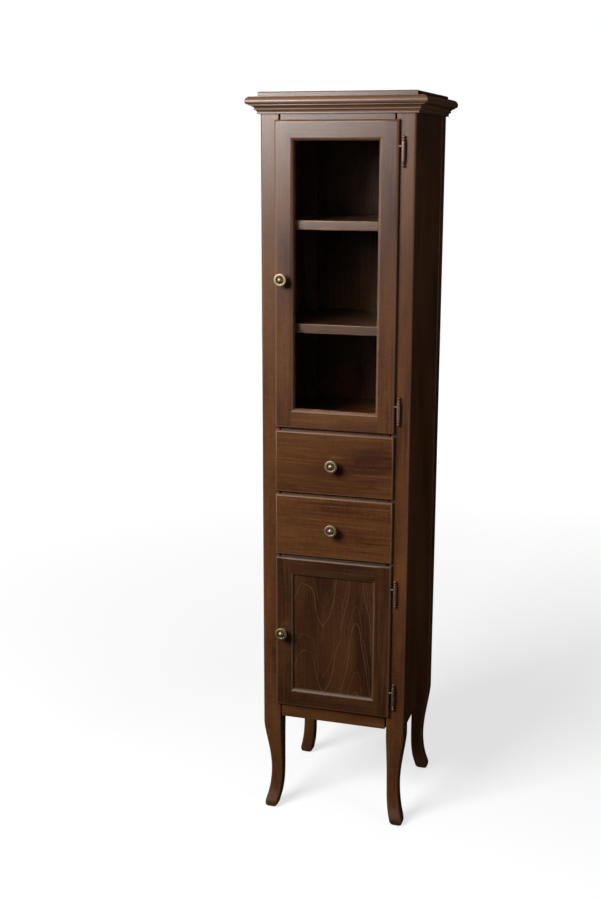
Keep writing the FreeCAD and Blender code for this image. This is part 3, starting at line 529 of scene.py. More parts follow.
def close_up():
    """Joins doubled corners, turns all faces outwards and leaves edit mode."""
    pick_all()
    bpy.ops.mesh.remove_doubles(threshold=NEAR / 4)
    bpy.ops.mesh.normals_make_consistent(inside=False)
    leave_edit()


def copy_piece(piece, name):
    """A copy with a mesh of its own."""
    only(piece)
    bpy.ops.object.duplicate()
    twin = bpy.context.object
    twin.name = name
    return twin


def coat(piece, material):
    piece.data.materials.clear()
    piece.data.materials.append(material)


def finish(piece, body, slot, material, *nodes, angle=40):
    """Smooth shading, a material, and the part of the cabinet it belongs to."""
    only(piece)
    bpy.ops.object.shade_smooth_by_angle(angle=math.radians(angle))
    weighted = piece.modifiers.new("weighted_normals", "WEIGHTED_NORMAL")
    weighted.keep_sharp = True
    bpy.ops.object.modifier_apply(modifier=weighted.name)
    coat(piece, material)
    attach(piece, body)
    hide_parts(*nodes)
    print(piece.name, len(piece.data.polygons), "faces")


print("tools for modelling ready")

# %% [markdown]
# Each corner post and its cabriole leg are one piece of wood. The section is
# always a square with rounded corners. Going up from the floor it leans in
# towards the ankle and out again to the knee. Ten heights were measured, and a
# smooth curve through them gives the sections between.
# %% Sections of a leg
POST = 43 * MM
# height of a section, then how far its outer and inner faces lie inside the
# post, in mm
LEG = (
    (0, 0.3, 13), (16, 1.5, 9.4), (37, 7, 4.6), (65, 11.8, 1.2), (102, 13.8, 0),
    (138, 11.6, 0), (174, 6.8, 0), (200, 2.9, 0), (228, 0, 0), (250, 0, 0),
)
KNEE_TOP = LEG[-2][0]
SHAFT_FOOT = LEG[-1][0]


def on_curve(rows, height, column):
    """A smooth curve through one column of a table of heights."""
    index = max(i for i, row in enumerate(rows[:-1]) if row[0] <= height)
    low, high = rows[index], rows[index + 1]
    before = rows[max(index - 1, 0)]
    after = rows[min(index + 2, len(rows) - 1)]
    span = high[0] - low[0]
    start_slope = (high[column] - before[column]) / (high[0] - before[0]) * span
    end_slope = (after[column] - low[column]) / (after[0] - low[0]) * span
    t = (height - low[0]) / span
    start_share = 2 * t**3 - 3 * t**2 + 1
    return (
        start_share * low[column]
        + (t**3 - 2 * t**2 + t) * start_slope
        + (1 - start_share) * high[column]
        + (t**3 - t**2) * end_slope
    )


def section(height):
    """(middle, side) of the post's square section at a height, in metres."""
    if height >= KNEE_TOP:
        return POST / 2, POST
    outer = on_curve(LEG, height, 1) * MM
    inner = on_curve(LEG, height, 2) * MM
    return (outer + POST - inner) / 2, POST - inner - outer


print("ankle's side:", round(section(100)[1] / MM, 1), "mm")

# %% [markdown]
# A leg could be sculpted, but a real one is sawn to a template on all four
# faces. So a square is extruded from level to level, each one moved and resized
# to its section. Bevel weights then say how round each edge is: most on the
# sole's edge, less on the leg's corners and the shaft's outer corner, least
# where a rail or panel meets the shaft. The other posts are turned copies.
# %% Posts and legs
LEG_STEP = 7
FULL_ROUND = 10 * MM
ROUNDED_LEG_TOP = 214 * MM


def bevel_weight(a, b):
    """The share of the full round that the edge between two corners gets."""
    middle = (a + b) / 2
    if abs(a.z - b.z) <= NEAR:
        return 1.0 if middle.z < NEAR else 0.0
    if middle.z < ROUNDED_LEG_TOP:
        return 0.6
    return 0.4 if max(middle.x, middle.y) < POST / 2 else 0.1


def round_corners(piece):
    mesh = piece.data
    weights = mesh.attributes.new("bevel_weight_edge", "FLOAT", "EDGE")
    for edge in mesh.edges:
        a, b = (mesh.vertices[i].co for i in edge.vertices)
        weights.data[edge.index].value = bevel_weight(a, b)
    rounding = piece.modifiers.new("corner_rounding", "BEVEL")
    rounding.limit_method = "WEIGHT"
    rounding.width = FULL_ROUND
    rounding.segments = 5
    bpy.ops.object.modifier_apply(modifier=rounding.name)


def make_post(name, top):
    clear_selection()
    middle, side = section(0)
    bpy.ops.mesh.primitive_plane_add(size=side, location=(middle, middle, 0))
    piece = name_new(name)
    edit(piece)
    # the first level leaves the sole's edge free for its rounding
    levels = list(range(2 * LEG_STEP, KNEE_TOP, LEG_STEP)) + [KNEE_TOP, SHAFT_FOOT, top / MM]
    before = 0
    for height in levels:
        bpy.ops.mesh.select_mode(type="FACE")
        now, wide = section(height)
        pull(now - middle, now - middle, (height - before) * MM)
        ratio = wide / side
        bpy.ops.transform.resize(
            value=(ratio, ratio, 1), center_override=(now, now, height * MM)
        )
        middle, side, before = now, wide, height
    pick_all()
    bpy.ops.mesh.normals_make_consistent(inside=False)
    leave_edit()
    round_corners(piece)
    return piece


TENON = 16 * MM
OPENING_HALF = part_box("lower_divider_rail")[1].x - TENON
CORNER_X = OPENING_HALF + POST
CARCASS_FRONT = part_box("upper_divider_rail")[0].y
CARCASS_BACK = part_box("back_panel")[1].y
CORNERS = ("front_left", "front_right", "back_right", "back_left")
pattern = make_post("front_left_leg_post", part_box("front_left_post")[1].z)
posts = [pattern] + [copy_piece(pattern, corner + "_leg_post") for corner in CORNERS[1:]]
for turns, (post, corner) in enumerate(zip(posts, CORNERS)):
    x = -CORNER_X if "left" in corner else CORNER_X
    y = CARCASS_FRONT if "front" in corner else CARCASS_BACK
    set_piece(post, (0, 0, turns * math.pi / 2), (x, y, 0))
    grain = stained_wood(corner + "_post_stain", "z", 1.3 + turns, edges=0.08)
    finish(post, "carcass", "stained_wood", grain, corner + "_post")

# %% [markdown]
# A drawer front is a lip with rounded edges, which lies over the cabinet's
# frame, and a thicker part behind it that fits in the opening. A block is
# rounded along its four front edges, then its back face is inset and extruded.
# The same blank, with a hole through it, becomes the frame of a door.
# %% Lipped fronts
LIP_RADIUS = 5.5 * MM
LIP_HIDDEN = 10.6 * MM
LIP_BACK = CARCASS_FRONT - 0.3 * MM


def lipped_blank(name, low, high):
    """The blank of a front, still in edit mode: a rounded lip and the slab
    behind it."""
    piece = block(name, low, (high[0], LIP_BACK, high[2]))
    edit(piece)
    pick(piece, "EDGE", lambda a, b: level(a.y, low[1]) and level(b.y, low[1]))
    round_picked(LIP_RADIUS, segments=6)
    pick(piece, "FACE", lambda middle, normal: level(middle.y, LIP_BACK) and normal.y > 0.9)
    bpy.ops.mesh.inset(thickness=LIP_HIDDEN, depth=0)
    pull(0, high[1] - LIP_BACK, 0)
    return piece


DRAWERS = ("upper_drawer", "lower_drawer")
for number, name in enumerate(DRAWERS):
    front = lipped_blank(name + "_face", *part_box(name + "_front"))
    leave_edit()
    grain = stained_wood(
        name + "_front_stain", "x", 11.4 + 3 * number, tone=0.97, streaks=1.5, polish=0.5
    )
    finish(front, name, "stained_wood", grain, name + "_front")

# %% [markdown]
# A door's frame has a small step round its opening and then a rounded moulding,
# which is mitred at its corners. The frame is made whole, because inset makes
# such mitres by itself: the front face is inset and pushed in for the step,
# both sides are opened, and the two holes are bridged. Behind a pane the
# opening is wider, so that the glass has a seat.
# %% Opening of a door's frame
FRAME_WIDTH = 37.5 * MM
STICKING = 6 * MM
STEP_DEPTH = 1 * MM
MOULDING_RADIUS = 5 * MM
MOULDING_SHAPE = 0.32
SEAT = 8 * MM
PANE_SETBACK = 8 * MM


def open_both_sides(piece, front_y, back_y, glazed):
    """Insets the front and back faces, and takes their middles out."""
    pick(piece, "FACE", lambda middle, normal: level(middle.y, front_y))
    bpy.ops.mesh.inset(thickness=FRAME_WIDTH - LIP_RADIUS, depth=0)
    pull(0, STEP_DEPTH, 0)
    bpy.ops.mesh.inset(thickness=STICKING, depth=0)
    bpy.ops.mesh.delete(type="ONLY_FACE")
    pick(piece, "FACE", lambda middle, normal: level(middle.y, back_y) and normal.y > 0.99)
    wall = FRAME_WIDTH + STICKING - LIP_HIDDEN
    if glazed:
        bpy.ops.mesh.inset(thickness=wall - SEAT, depth=0)
        pull(0, front_y + PANE_SETBACK - back_y, 0)
        bpy.ops.mesh.inset(thickness=SEAT, depth=0)
    else:
        bpy.ops.mesh.inset(thickness=wall, depth=0)
    bpy.ops.mesh.delete(type="ONLY_FACE")


def open_frame(piece, low, high, glazed):
    """Makes the moulded opening in a door's blank, which is in edit mode."""
    open_both_sides(piece, low[1], high[1], glazed)
    bpy.ops.mesh.select_mode(type="EDGE")
    bpy.ops.mesh.select_all(action="DESELECT")
    bpy.ops.mesh.select_non_manifold()
    bpy.ops.mesh.bridge_edge_loops()
    border = FRAME_WIDTH + STICKING - NEAR

    def on_sight(point):
        inside_x = abs(point.x) < high[0] - border
        inside_z = low[2] + border < point.z < high[2] - border
        return inside_x and inside_z and level(point.y, low[1] + STEP_DEPTH)

    pick(piece, "EDGE", lambda a, b: on_sight(a) and on_sight(b))
    round_picked(MOULDING_RADIUS, segments=6, profile=MOULDING_SHAPE)


print("moulding", STICKING / MM, "mm wide")

# %% [markdown]
# A real frame is joined from two stiles that run its full height and two rails
# between them. The whole frame is cut along these joints and each member is
# lifted out, so that each one can have a grain that runs along it.
# %% Door frames


def member_of(middle, low, high):
    """The name of the member that a face of the frame belongs to."""
    beyond_x = abs(middle.x) - (high[0] - FRAME_WIDTH)
    beyond_z = max(middle.z - (high[2] - FRAME_WIDTH), low[2] + FRAME_WIDTH - middle.z)
    if beyond_x > 0 or beyond_x > beyond_z:
        return "hinge_stile" if middle.x > 0 else "latch_stile"
    return "top_rail" if middle.z > (low[2] + high[2]) / 2 else "bottom_rail"


def lift_member(piece, member, low, high):
    """Separates one member from the rest of the frame and closes its ends."""
    edit(piece)
    pick(piece, "FACE", lambda middle, normal: member_of(middle, low, high) == member)
    bpy.ops.mesh.separate(type="SELECTED")
    leave_edit()
    lifted = [o for o in bpy.context.selected_objects if o != piece][0]
    edit(lifted)
    pick_all()
    bpy.ops.mesh.fill_holes(sides=0)
    bpy.ops.mesh.normals_make_consistent(inside=False)
    leave_edit()
    return lifted


def make_door(name, glazed, start, tone, streaks):
    stile_low, stile_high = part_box(name + "_hinge_stile")
    low = (-stile_high.x, stile_low.y, stile_low.z)
    high = tuple(stile_high)
    whole = lipped_blank(name + "_whole", low, high)
    open_frame(whole, low, high, glazed)
    for side in (-1, 1):
        saw((side * (high[0] - FRAME_WIDTH), 0, 0), (1, 0, 0))
    leave_edit()
    for number, member in enumerate(("hinge_stile", "latch_stile", "top_rail", "bottom_rail")):
        piece = lift_member(whole, member, low, high)
        piece.name = f"{name}_{member}_moulded"
        run = "z" if "stile" in member else "x"
        place = start + number * 1.9
        grain = stained_wood(f"{name}_{member}_stain", run, place, tone, streaks, edges=0.26)
        finish(piece, name, "stained_wood", grain, f"{name}_{member}")
    bpy.data.objects.remove(whole)


make_door("glass_door", glazed=True, start=21.0, tone=1.0, streaks=1.0)
make_door("lower_door", glazed=False, start=31.0, tone=0.58, streaks=1.9)

# %% [markdown]
# The rails between the posts are plain boards. At each end the real joint
# leaves a narrow groove in front, which reads as a dark line beside the post.
# The block is made short by the groove's width and cut a few millimetres behind
# its face. Then only the back part of each end is extruded out to the post. The
# rails behind the gaps between the fronts lie in shadow, and their darker tone is
# painted shade.
# %% Front rails
GROOVE_WIDTH = 3.2 * MM
GROOVE_DEPTH = 10 * MM


def widened_board(name, low, high, wide, y_from, y_to):
    """A block, still in edit mode, that is wider by the given amount at each
    end between two planes that face the front."""
    piece = block(name, low, high)
    edit(piece)
    for y in (y_from, y_to):
        saw((0, y, 0), (0, 1, 0))
    for side in (-1, 1):
        pick(piece, "FACE", lambda at, normal: normal.x * side > 0.9 and y_from < at.y < y_to)
        pull(side * wide, 0, 0)
    return piece


RAILS = ("top_front", "upper_divider", "middle_divider", "lower_divider", "bottom_front")
for number, rail in enumerate(RAILS):
    node = rail + "_rail"
    low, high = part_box(node)
    half = OPENING_HALF - GROOVE_WIDTH
    piece = widened_board(
        node + "_board",
        (-half, low.y, low.z),
        (half, high.y, high.z),
        GROOVE_WIDTH,
        low.y + GROOVE_DEPTH,
        high.y + MM,
    )
    leave_edit()
    # the divider rails' low tone paints the shade that lies in the gaps
    tone = 0.4 if "divider" in node else 1.0
    grain = stained_wood(node + "_stain", "x", 41 + number * 1.3, tone)
    finish(piece, "carcass", "stained_wood", grain, node)

# %% [markdown]
# The shelves widen between the posts, up to the side panels, so they are made
# in the same way. Their front edges are eased with a small bevel. They are
# darker than the glazed door in front of them. The lower one is darker still,
# which is painted shade, for it gets less light from above.
# %% Shelves
for number, node in enumerate(("lower_shelf", "upper_shelf")):
    low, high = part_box(node)
    narrow = OPENING_HALF - MM
    piece = widened_board(
        node + "_board",
        (-narrow, low.y, low.z),
        (narrow, high.y, high.z),
        high.x - narrow,
        CARCASS_FRONT + POST + MM,
        CARCASS_BACK - POST - MM,
    )
    pick(piece, "EDGE", lambda a, b: level(a.y, low.y) and level(b.y, low.y) and level(a.z, b.z))
    round_picked(1.5 * MM, segments=3)
    leave_edit()
    # the lower shelf's lower tone paints the shade that falls on it
    grain = stained_wood(node + "_stain", "x", 51 + number * 1.3, 0.38 + 0.24 * number)
    finish(piece, "carcass", "inner_wood", grain, node)

# %% [markdown]
# The top board is a flat plate with its upper edges rounded over, apart from
# the one at the back, which stands against the wall. One bevel does it.
# %% Top board
low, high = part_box("top_board")


def on_rim(a, b):
    at_back = level(a.y, high.y) and level(b.y, high.y)
    return level(a.z, high.z) and level(b.z, high.z) and not at_back


plate = block("top_plate", low, high)
edit(plate)
pick(plate, "EDGE", on_rim)
round_picked(3 * MM, segments=5)
leave_edit()
finish(plate, "carcass", "stained_wood", stained_wood("top_plate_stain", "x", 61.0), "top_board")

# %% [markdown]
# Mouldings and turned parts both start from a drawn profile. It is a chain of
# edges, extruded from a single corner, with its round stretches as arcs, which
# need only their ends and a radius.
# %% Drawn profiles


def bowed(start, end, radius, turn, steps=8):
    """Points on an arc after its start, up to its end. Turn is 1 or -1."""
    a, b = Vector(start), Vector(end)
    chord = b - a
    reach = math.sqrt(max(radius**2 - (chord.length / 2) ** 2, 0))
    centre = (a + b) / 2 + Vector((-chord.y, chord.x)).normalized() * reach * turn
    first = math.atan2(a.y - centre.y, a.x - centre.x)
    last = math.atan2(b.y - centre.y, b.x - centre.x)
    sweep = (last - first + math.pi) % (2 * math.pi) - math.pi
    angles = [first + sweep * i / steps for i in range(1, steps + 1)]
    return [
        (centre.x + radius * math.cos(angle), centre.y + radius * math.sin(angle))
        for angle in angles
    ]


def scaled(points):
    """Points from millimetres to metres."""
    return [(across * MM, up * MM) for across, up in points]


def drawn_line(name, points):
    """A chain of edges through points, still in edit mode."""
    clear_selection()
    bpy.ops.mesh.primitive_plane_add(size=MM, location=points[0])
    piece = name_new(name)
    edit(piece)
    bpy.ops.mesh.select_mode(type="VERT")
    pick_all()
    bpy.ops.mesh.merge(type="CENTER")
    for before, after in zip(points, points[1:]):
        pull(*(Vector(after) - Vector(before)))
    return piece


print("profiles ready")

# %% [markdown]
# The cornice is a long moulding, sawn to a mitre at the front corners. Its
# section is closed with a face and extruded along its run. Bisect then saws the
# mitre and fills the cut.
# %% Cornice
MITRE_REACH = 28 * MM


def cornice_section():
    """(reach, height) points of the moulding from its foot up."""
    points = [(0, 0), (6, 0)]
    points += bowed((6, 0), (7.5, 7.6), 6.8, -1)
    points += [(9.6, 7.6)]
    points += bowed((9.6, 7.6), (9.6, 11.2), 1.98, 1)
    points += bowed((9.6, 11.2), (20.5, 17.2), 14, -1)
    points += [(20.5, 18.8), (22.8, 19.4)]
    points += bowed((22.8, 19.4), (27, 25), 5.9, 1)
    points += bowed((27, 25), (20.5, 35.2), 11.4, 1)
    return scaled(points + [(20.5, 36), (0, 36)])


def moulding(name, place, run, cuts):
    """Draws the section with a place function, pushes it along and saws it."""
    piece = drawn_line(name, [place(reach, height) for reach, height in cornice_section()])
    pick_all()
    bpy.ops.mesh.edge_face_add()
    pull(*run)
    for point, outwards in cuts:
        saw(point, outwards, drop=True)
    close_up()
    return piece


foot_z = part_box("cornice_front")[0].z
front_cornice = moulding(
    "cornice_front_moulding",
    lambda reach, height: (-CORNER_X - MITRE_REACH, CARCASS_FRONT - reach, foot_z + height),
    (2 * (CORNER_X + MITRE_REACH), 0, 0),
    [((side * CORNER_X, CARCASS_FRONT, 0), (side, 1, 0)) for side in (-1, 1)],
)
grain = stained_wood("cornice_front_stain", "x", 71.0)
finish(front_cornice, "carcass", "stained_wood", grain, "cornice_front")
for side, node in ((-1, "cornice_left"), (1, "cornice_right")):
    piece = moulding(
        node + "_moulding",
        lambda reach, height: (side * (CORNER_X + reach), CARCASS_BACK, foot_z + height),
        (0, CARCASS_FRONT - MITRE_REACH - CARCASS_BACK, 0),
        [((side * CORNER_X, CARCASS_FRONT, 0), (-side, -1, 0))],
    )
    grain = stained_wood(node + "_stain", "y", 75.0 + side)
    finish(piece, "carcass", "stained_wood", grain, node)

# %% [markdown]
# The knobs and the hinges' barrels are turned on a lathe. Spin is Blender's
# lathe: half a profile is drawn and swept round an axis. The knob has a foot, a
# thin neck, a bowl that widens to a rolled rim, and a ball in a hollow. Both
# doors and both drawers have the same one, so it is turned once and copied.
# %% Turned knobs


def turned(name, profile, steps):
    """A closed shape turned about the z axis from (radius, height) points."""
    piece = drawn_line(name, [(radius, 0, height) for radius, height in profile])
    pick_all()
    bpy.ops.mesh.spin(steps=steps, angle=2 * math.pi, center=(0, 0, 0), axis=(0, 0, 1))
    close_up()
    return piece


def knob_profile():
    points = [(0, 0), (7.6, 0), (8, 0.4), (8, 2.1), (7.5, 2.6), (5.1, 4.1), (4.5, 5.2), (4.5, 8.5)]
    points += bowed((4.5, 8.5), (14.2, 20.6), 16, 1, 10)
    points += bowed((14.2, 20.6), (13.5, 23.7), 1.75, 1)
    points += [(11.6, 24), (9.3, 23.9), (8.5, 23.4), (8.1, 22.4), (7.7, 21.9)]
    points += bowed((7.2, 22.2), (1.5, 27), 7.4, 1)
    return scaled(points + [(0, 27)])


KNOBS = ("glass_door", "upper_drawer", "lower_drawer", "lower_door")
knob_pattern = turned("glass_door_turned_knob", knob_profile(), 48)
knobs = [knob_pattern] + [copy_piece(knob_pattern, body + "_turned_knob") for body in KNOBS[1:]]
print("knobs turned:", len(knobs))

# %% [markdown]
# Old brass is brown in its hollows and bright where fingers rub it. A metal's
# colour is its reflection, so the patina is a darker base colour with a rougher
# surface, and noise of a few millimetres mixes the two. How far a point of a
# knob is rubbed comes from its distance to the knob's axis.
# %% Brass and bronze
BRASS_BRIGHT = (0.37, 0.29, 0.19)
BRASS_DULL = (0.19, 0.125, 0.035)
BRONZE_BRIGHT = (0.60, 0.34, 0.27)
BRONZE_DULL = (0.10, 0.052, 0.042)


def make_patina():
    group, given, result = new_group(
        "metal_patina",
        (("Vector", PLACE), ("Bright", COLOUR), ("Dull", COLOUR), ("Rubbed", NUMBER)),
    )
    vector = given.outputs["Vector"]
    blotch = stretched_noise(group, vector, across=420, along=420, detail=3)
    speck = stretched_noise(group, vector, across=1900, along=1900, detail=2)
    worn = sway(group, given.outputs["Rubbed"], blotch, 1.2)
    worn = sway(group, worn, speck, 0.4, clamp=True)
    colour = blend_colours(group, worn, given.outputs["Dull"], given.outputs["Bright"])
    roughness = between(group, worn, 0.0, 1.0, 0.62, 0.46)
    feed(result, {"Color": colour, "Roughness": roughness, "Height": speck})
    return group


METAL_PATINA = make_patina()


def patinated(name, bright, dull, rubbed):
    """A metal with patina. Rubbed is a number, or a function of the tree."""
    material = new_material(name)
    tree = material.node_tree
    inputs = {
        "Vector": coordinates(tree, "Object"),
        "Bright": bright + (1,),
        "Dull": dull + (1,),
        "Rubbed": rubbed(tree) if callable(rubbed) else rubbed,
    }
    patina = add_node(tree, "ShaderNodeGroup", inputs, node_tree=METAL_PATINA)
    lacquer(material, *surface_of(patina), depth=0.04 * MM, metallic=1.0)
    return material


def rubbed_round(centre_x, centre_z):
    """Brighter on the rim and the ball, dark in the hollow between them."""

    def build(tree):
        x, y, z = axes(tree, coordinates(tree, "Object"))
        across = calculate(tree, "SUBTRACT", x, centre_x)
        up = calculate(tree, "SUBTRACT", z, centre_z)
        squares = [calculate(tree, "POWER", part, 2.0) for part in (across, up)]
        radius = calculate(tree, "SQRT", calculate(tree, "ADD", *squares))
        rim = between(tree, radius, 7.9 * MM, 8.8 * MM, 0.0, 0.75)
        ball = between(tree, radius, 7.2 * MM, 5.2 * MM, 0.0, 0.8)
        return calculate(tree, "ADD", rim, ball)

    return build


for piece, body in zip(knobs, KNOBS):
    low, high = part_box(body + "_knob")
    centre_x, centre_z = (low.x + high.x) / 2, (low.z + high.z) / 2
    set_piece(piece, (math.pi / 2, 0, 0), (centre_x, high.y, centre_z))
    brass = patinated(body + "_brass", BRASS_BRIGHT, BRASS_DULL, rubbed_round(centre_x, centre_z))
    finish(piece, body, "antique_brass", brass, body + "_knob", angle=50)

# %% [markdown]
# Each hinge is a lower barrel with a pin, whose shank is screwed into the post,
# and an upper barrel that the door brings with it. Both have a finial. A barrel
# is turned and its shank, a rounded rod, is joined to it. The door's half is
# the post's half turned over, with its shank to the side. The pin would only
# show in the 0.4 mm gap between the halves, so it isn't drawn.
# %% Hinges
BARREL_RADIUS = 4 * MM
HINGE_TIP = 33 * MM
HALVES_APART = 0.2  # mm, like the points of the profile
SHANK_RADIUS = 2.3 * MM
SHANK_START = 3 * MM
SHANK_LEVEL = 10.35 * MM


def hinge_profile(sign):
    """Half a barrel with its finial, from the joint between the halves out."""
    points = [(0, HALVES_APART), (3.7, HALVES_APART), (4, 0.5), (4, 20.1), (3.6, 20.6)]
    points += [(2.5, 21.2), (2.4, 21.7)]
    points += bowed((2.4, 21.7), (2.4, 25.2), 1.9, 1, 6)
    points += [(1.7, 25.7), (1.7, 27)]
    points += bowed((1.7, 27), (0.6, 33), 3.25, 1)
    return scaled([(radius, height * sign) for radius, height in points + [(0, 33)]])


def hinge_half(name, sign, reach, sideways):
    """A turned barrel with the shank that holds it, joined in one piece."""
    barrel = turned(name, hinge_profile(sign), 32)
    clear_selection()
    length = reach - SHANK_START
    middle = SHANK_START + length / 2
    turn = (0, math.pi / 2, 0) if sideways else (math.pi / 2, 0, 0)
    place = (-middle, 0, sign * SHANK_LEVEL) if sideways else (0, middle, sign * SHANK_LEVEL)
    bpy.ops.mesh.primitive_cylinder_add(
        vertices=20, radius=SHANK_RADIUS, depth=length, location=place, rotation=turn
    )
    shank = bpy.context.object
    edit(shank)
    pick(shank, "EDGE", lambda a, b: (a - b).length < 1.5 * MM)
    round_picked(0.3 * MM, segments=2)
    only(barrel)
    shank.select_set(True)
    bpy.ops.object.join()
    return barrel


bronze = patinated("dark_bronze_patina", BRONZE_BRIGHT, BRONZE_DULL, 0.35)
shank_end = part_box("frame_hinge_halves")[1].y
door_low, door_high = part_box("glass_door_hinge_halves")
hinge_x = door_high.x - BARREL_RADIUS
hinge_y = door_low.y + BARREL_RADIUS
lower_pattern = hinge_half("hinge_pin_pattern", -1, shank_end - hinge_y, sideways=False)
upper_pattern = hinge_half("hinge_leaf_pattern", 1, hinge_x - door_low.x, sideways=True)
for body in ("glass_door", "lower_door"):
    low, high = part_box(body + "_hinge_halves")
    for end, z in (("upper", high.z - HINGE_TIP), ("lower", low.z - HALVES_APART * MM)):
        pin = copy_piece(lower_pattern, f"{body}_{end}_hinge_pin_half")
        set_piece(pin, (0, 0, 0), (hinge_x, hinge_y, z))
        finish(pin, "carcass", "dark_bronze", bronze, "frame_hinge_halves")
        leaf = copy_piece(upper_pattern, f"{body}_{end}_hinge_door_half")
        set_piece(leaf, (0, 0, 0), (hinge_x, hinge_y, z))
        finish(leaf, body, "dark_bronze", bronze, body + "_hinge_halves")
bpy.data.objects.remove(lower_pattern)
bpy.data.objects.remove(upper_pattern)

# %% [markdown]
# The lower door's panel is cut from the side of a log, so its growth rings show
# as thin pale arches and Vs. They are level lines of a smooth field: height plus
# a curve across the width, which is least at the arches' tops. The curve is
# drawn in a Float Curve node. The field is divided by its slope, which the same
# curve a little further along gives, so that all lines are about as thick.
# %% Growth rings
ARCH_SPACING = 0.169
FIRST_RING = 0.592
LINE_WIDTH = 0.8 * MM
LINE_CORE = 0.1 * MM
HALF_PANEL = 101 * MM
CURVE_RANGE = 0.39
CURVE_FOOT = -0.27
# across the panel, then how far a ring lies below its highest left arch, in mm
RING_CURVE = (
    (-101, 61), (-95, 47), (-92, 35), (-88, 22), (-82, 8), (-77, 0), (-65, 0), (-55, 6),
    (-48, 20), (-42, 50), (-37, 71), (-30, 85), (-23, 98), (-16, 87), (-8, 71), (-4, 58),
    (0, 40), (3, 14), (7, -12), (11, -22), (16, -27), (20, -64), (26, -101), (33, -132),
    (37, -168), (40, -202), (44, -227), (50, -248), (55, -254), (61, -246), (65, -227),
    (69, -191), (74, -158), (80, -126), (87, -79), (91, -25), (95, 16), (101, 36),
)


def ring_drop(tree, across):
    """How far the rings drop at a place across the panel, in metres."""
    inputs = {"Value": between(tree, across, -HALF_PANEL, HALF_PANEL)}
    node = add_node(tree, "ShaderNodeFloatCurve", inputs)
    points = node.mapping.curves[0].points
    places = [
        ((x * MM + HALF_PANEL) / (2 * HALF_PANEL), (drop * MM - CURVE_FOOT) / CURVE_RANGE)
        for x, drop in RING_CURVE
    ]
    points[0].location, points[-1].location = places[0], places[-1]
    for place in places[1:-1]:
        points.new(*place)
    # the V between the two arches has a sharp tip
    tip = max(points, key=lambda point: point.location.y)
    tip.handle_type = "VECTOR"
    node.mapping.update()
    return calculate(tree, "MULTIPLY_ADD", node.outputs[0], CURVE_RANGE, CURVE_FOOT)


def ring_lines(tree, field, steep, offset):
    """1 on thin lines at every ring, shifted by a share of their spacing."""
    first = 0.5 - FIRST_RING / ARCH_SPACING - offset
    rings = calculate(tree, "MULTIPLY_ADD", field, 1 / ARCH_SPACING, first)
    share = calculate(tree, "SUBTRACT", calculate(tree, "FRACT", rings), 0.5)
    off_line = calculate(tree, "MULTIPLY", calculate(tree, "ABSOLUTE", share), ARCH_SPACING)
    distance = calculate(tree, "DIVIDE", off_line, steep)
    return between(tree, distance, LINE_WIDTH, LINE_CORE)


print("rings", ARCH_SPACING, "m apart, from", len(RING_CURVE), "places")

# %% [markdown]
# The rings wander a little, as growth does, so noise moves the place where the
# curve is read and the height of each line. Between two rings runs a fainter
# one, and all of them fade in places. They lie over the usual grain.
# %% Arched grain of the lower panel
RING_COLOUR = (0.155, 0.078, 0.040, 1)
PANEL_TONE = 0.55


def arched_wood(name):
    material = new_material(name)
    tree = material.node_tree
    vector = placed_coordinates(tree, "z", 0)
    grain = stain_grain(tree, vector, PANEL_TONE, streaks=0.8, edges=0.0)
    x, y, z = axes(tree, vector)
    wander = stretched_noise(tree, vector, across=22, along=10, detail=1)
    ripple = stretched_noise(tree, vector, across=120, along=70, detail=2)
    across = sway(tree, sway(tree, x, wander, 0.014), ripple, 0.0022)
    drop = ring_drop(tree, across)
    further = ring_drop(tree, calculate(tree, "ADD", across, MM))
    slope = calculate(tree, "DIVIDE", calculate(tree, "SUBTRACT", further, drop), MM)
    steep = calculate(tree, "SQRT", calculate(tree, "MULTIPLY_ADD", slope, slope, 1.0))
    field = sway(tree, calculate(tree, "ADD", z, drop), wander, 0.03)
    main = ring_lines(tree, field, steep, 0.0)
    second = calculate(tree, "MULTIPLY", ring_lines(tree, field, steep, 0.25), 0.5)
    patches = stretched_noise(tree, vector, across=34, along=16, detail=2)
    fade = between(tree, patches, 0.32, 0.55, 0.5, 1.0)
    line = calculate(tree, "MULTIPLY", calculate(tree, "MAXIMUM", main, second), fade)
    stained, roughness, height = surface_of(grain)
    ringed = blend_colours(tree, line, stained, RING_COLOUR)
    lacquer(material, ringed, roughness, height, depth=0.1 * MM)
    return material


coat(NODES["lower_door_panel"], arched_wood("lower_door_panel_stain"))
print("lower panel stained")

# %% [markdown]
# The glass is clear float glass. Light that falls through it would cost many
# samples, so for shadow rays the pane is simply transparent.
# %% Clear glass
GLASS = {
    "Base Color": (0.93, 0.97, 0.95, 1),
    "Transmission Weight": 1.0,
    "Roughness": 0.0,
    "IOR": 1.45,
}


def clear_glass(name):
    material = new_material(name)
    tree = material.node_tree
    shader = tree.nodes["Principled BSDF"]
    feed(shader, GLASS)
    in_shadow = add_node(tree, "ShaderNodeLightPath").outputs["Is Shadow Ray"]
    open_air = add_node(tree, "ShaderNodeBsdfTransparent").outputs[0]
    inputs = {0: in_shadow, 1: shader.outputs[0], 2: open_air}
    mixed = add_node(tree, "ShaderNodeMixShader", inputs).outputs[0]
    feed(tree.nodes["Material Output"], {"Surface": mixed})
    return material


coat(NODES["glass_door_pane"], clear_glass("glass_door_glass"))
print("pane glazed")

# %% [markdown]
# The other nodes are flat boards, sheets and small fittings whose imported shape
# is already right. They keep it and only get a finish. Steel and the plastic
# of the catches have a fine grain of their own.
# %% Finishes for the small fittings


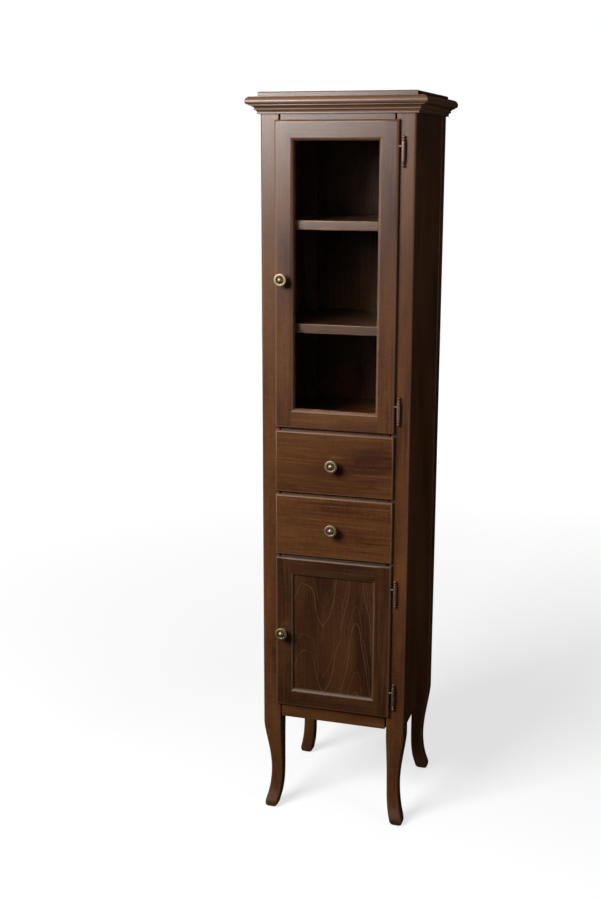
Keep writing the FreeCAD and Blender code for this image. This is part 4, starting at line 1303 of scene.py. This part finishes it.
def plain_finish(name, colours, across, along, roughness, metallic):
    """A material with two close tones mixed by fine noise."""
    material = new_material(name)
    tree = material.node_tree
    noise = stretched_noise(tree, coordinates(tree, "Object"), across, along, 3)
    mixed = blend_colours(tree, noise, *[colour + (1,) for colour in colours])
    dull = between(tree, noise, 0.3, 0.7, roughness - 0.08, roughness + 0.08)
    lacquer(material, mixed, dull, noise, depth=0.03 * MM, metallic=metallic)
    return material


ZINC = ((0.55, 0.55, 0.54), (0.68, 0.68, 0.67))
BROWN = ((0.075, 0.042, 0.025), (0.10, 0.058, 0.036))
steel = plain_finish("zinc_plated_steel", ZINC, 500, 60, 0.38, 1.0)
plastic = plain_finish("brown_catch_plastic", BROWN, 900, 900, 0.55, 0.0)
coat(NODES["door_catches"], plastic)
coat(NODES["shelf_pins"], patinated("brass_pins", BRASS_BRIGHT, BRASS_DULL, 0.3))
for body in KNOBS:
    coat(NODES[body + "_knob_screw"], steel)
for body in ("glass_door", "lower_door"):
    coat(NODES[body + "_strike_plate"], steel)
print("fittings finished")

# %% [markdown]
# Side panels and glazing beads are lacquered, the back and the boards inside
# only stained. Grain runs along a board, so each direction has its own list.
# %% Finishes for the boards
LACQUERED = (
    ("left_side_panel", "left_side_panel", 81),
    ("right_side_panel", "right_side_panel", 82.7),
    ("glass_door_glazing_beads", "glazing_beads", 131),
)
ACROSS_BOARDS = [
    "glass_compartment_floor", "dust_board", "bottom_board", "bottom_back_rail", "top_back_rail"
]
ACROSS_BOARDS += [f"{drawer}_{part}" for part in ("back", "bottom") for drawer in DRAWERS]
DEPTH_BOARDS = ["drawer_runners"]
DEPTH_BOARDS += [f"{drawer}_{side}_side" for drawer in DRAWERS for side in ("left", "right")]
for node, label, start in LACQUERED:
    coat(NODES[node], stained_wood(label + "_stain", "z", start))
for run, boards, start in (
    ("z", ["back_panel"], 84.4),
    ("x", ACROSS_BOARDS, 91),
    ("y", DEPTH_BOARDS, 111),
):
    for number, node in enumerate(boards):
        coat(NODES[node], bare_wood(node + "_stain", run, start + number * 1.7))
shown = {name: node for name, node in NODES.items() if not node.hide_render}
bare = [name for name, node in shown.items() if not node.data.materials]
print("nodes shown:", len(shown), "without a finish:", bare)
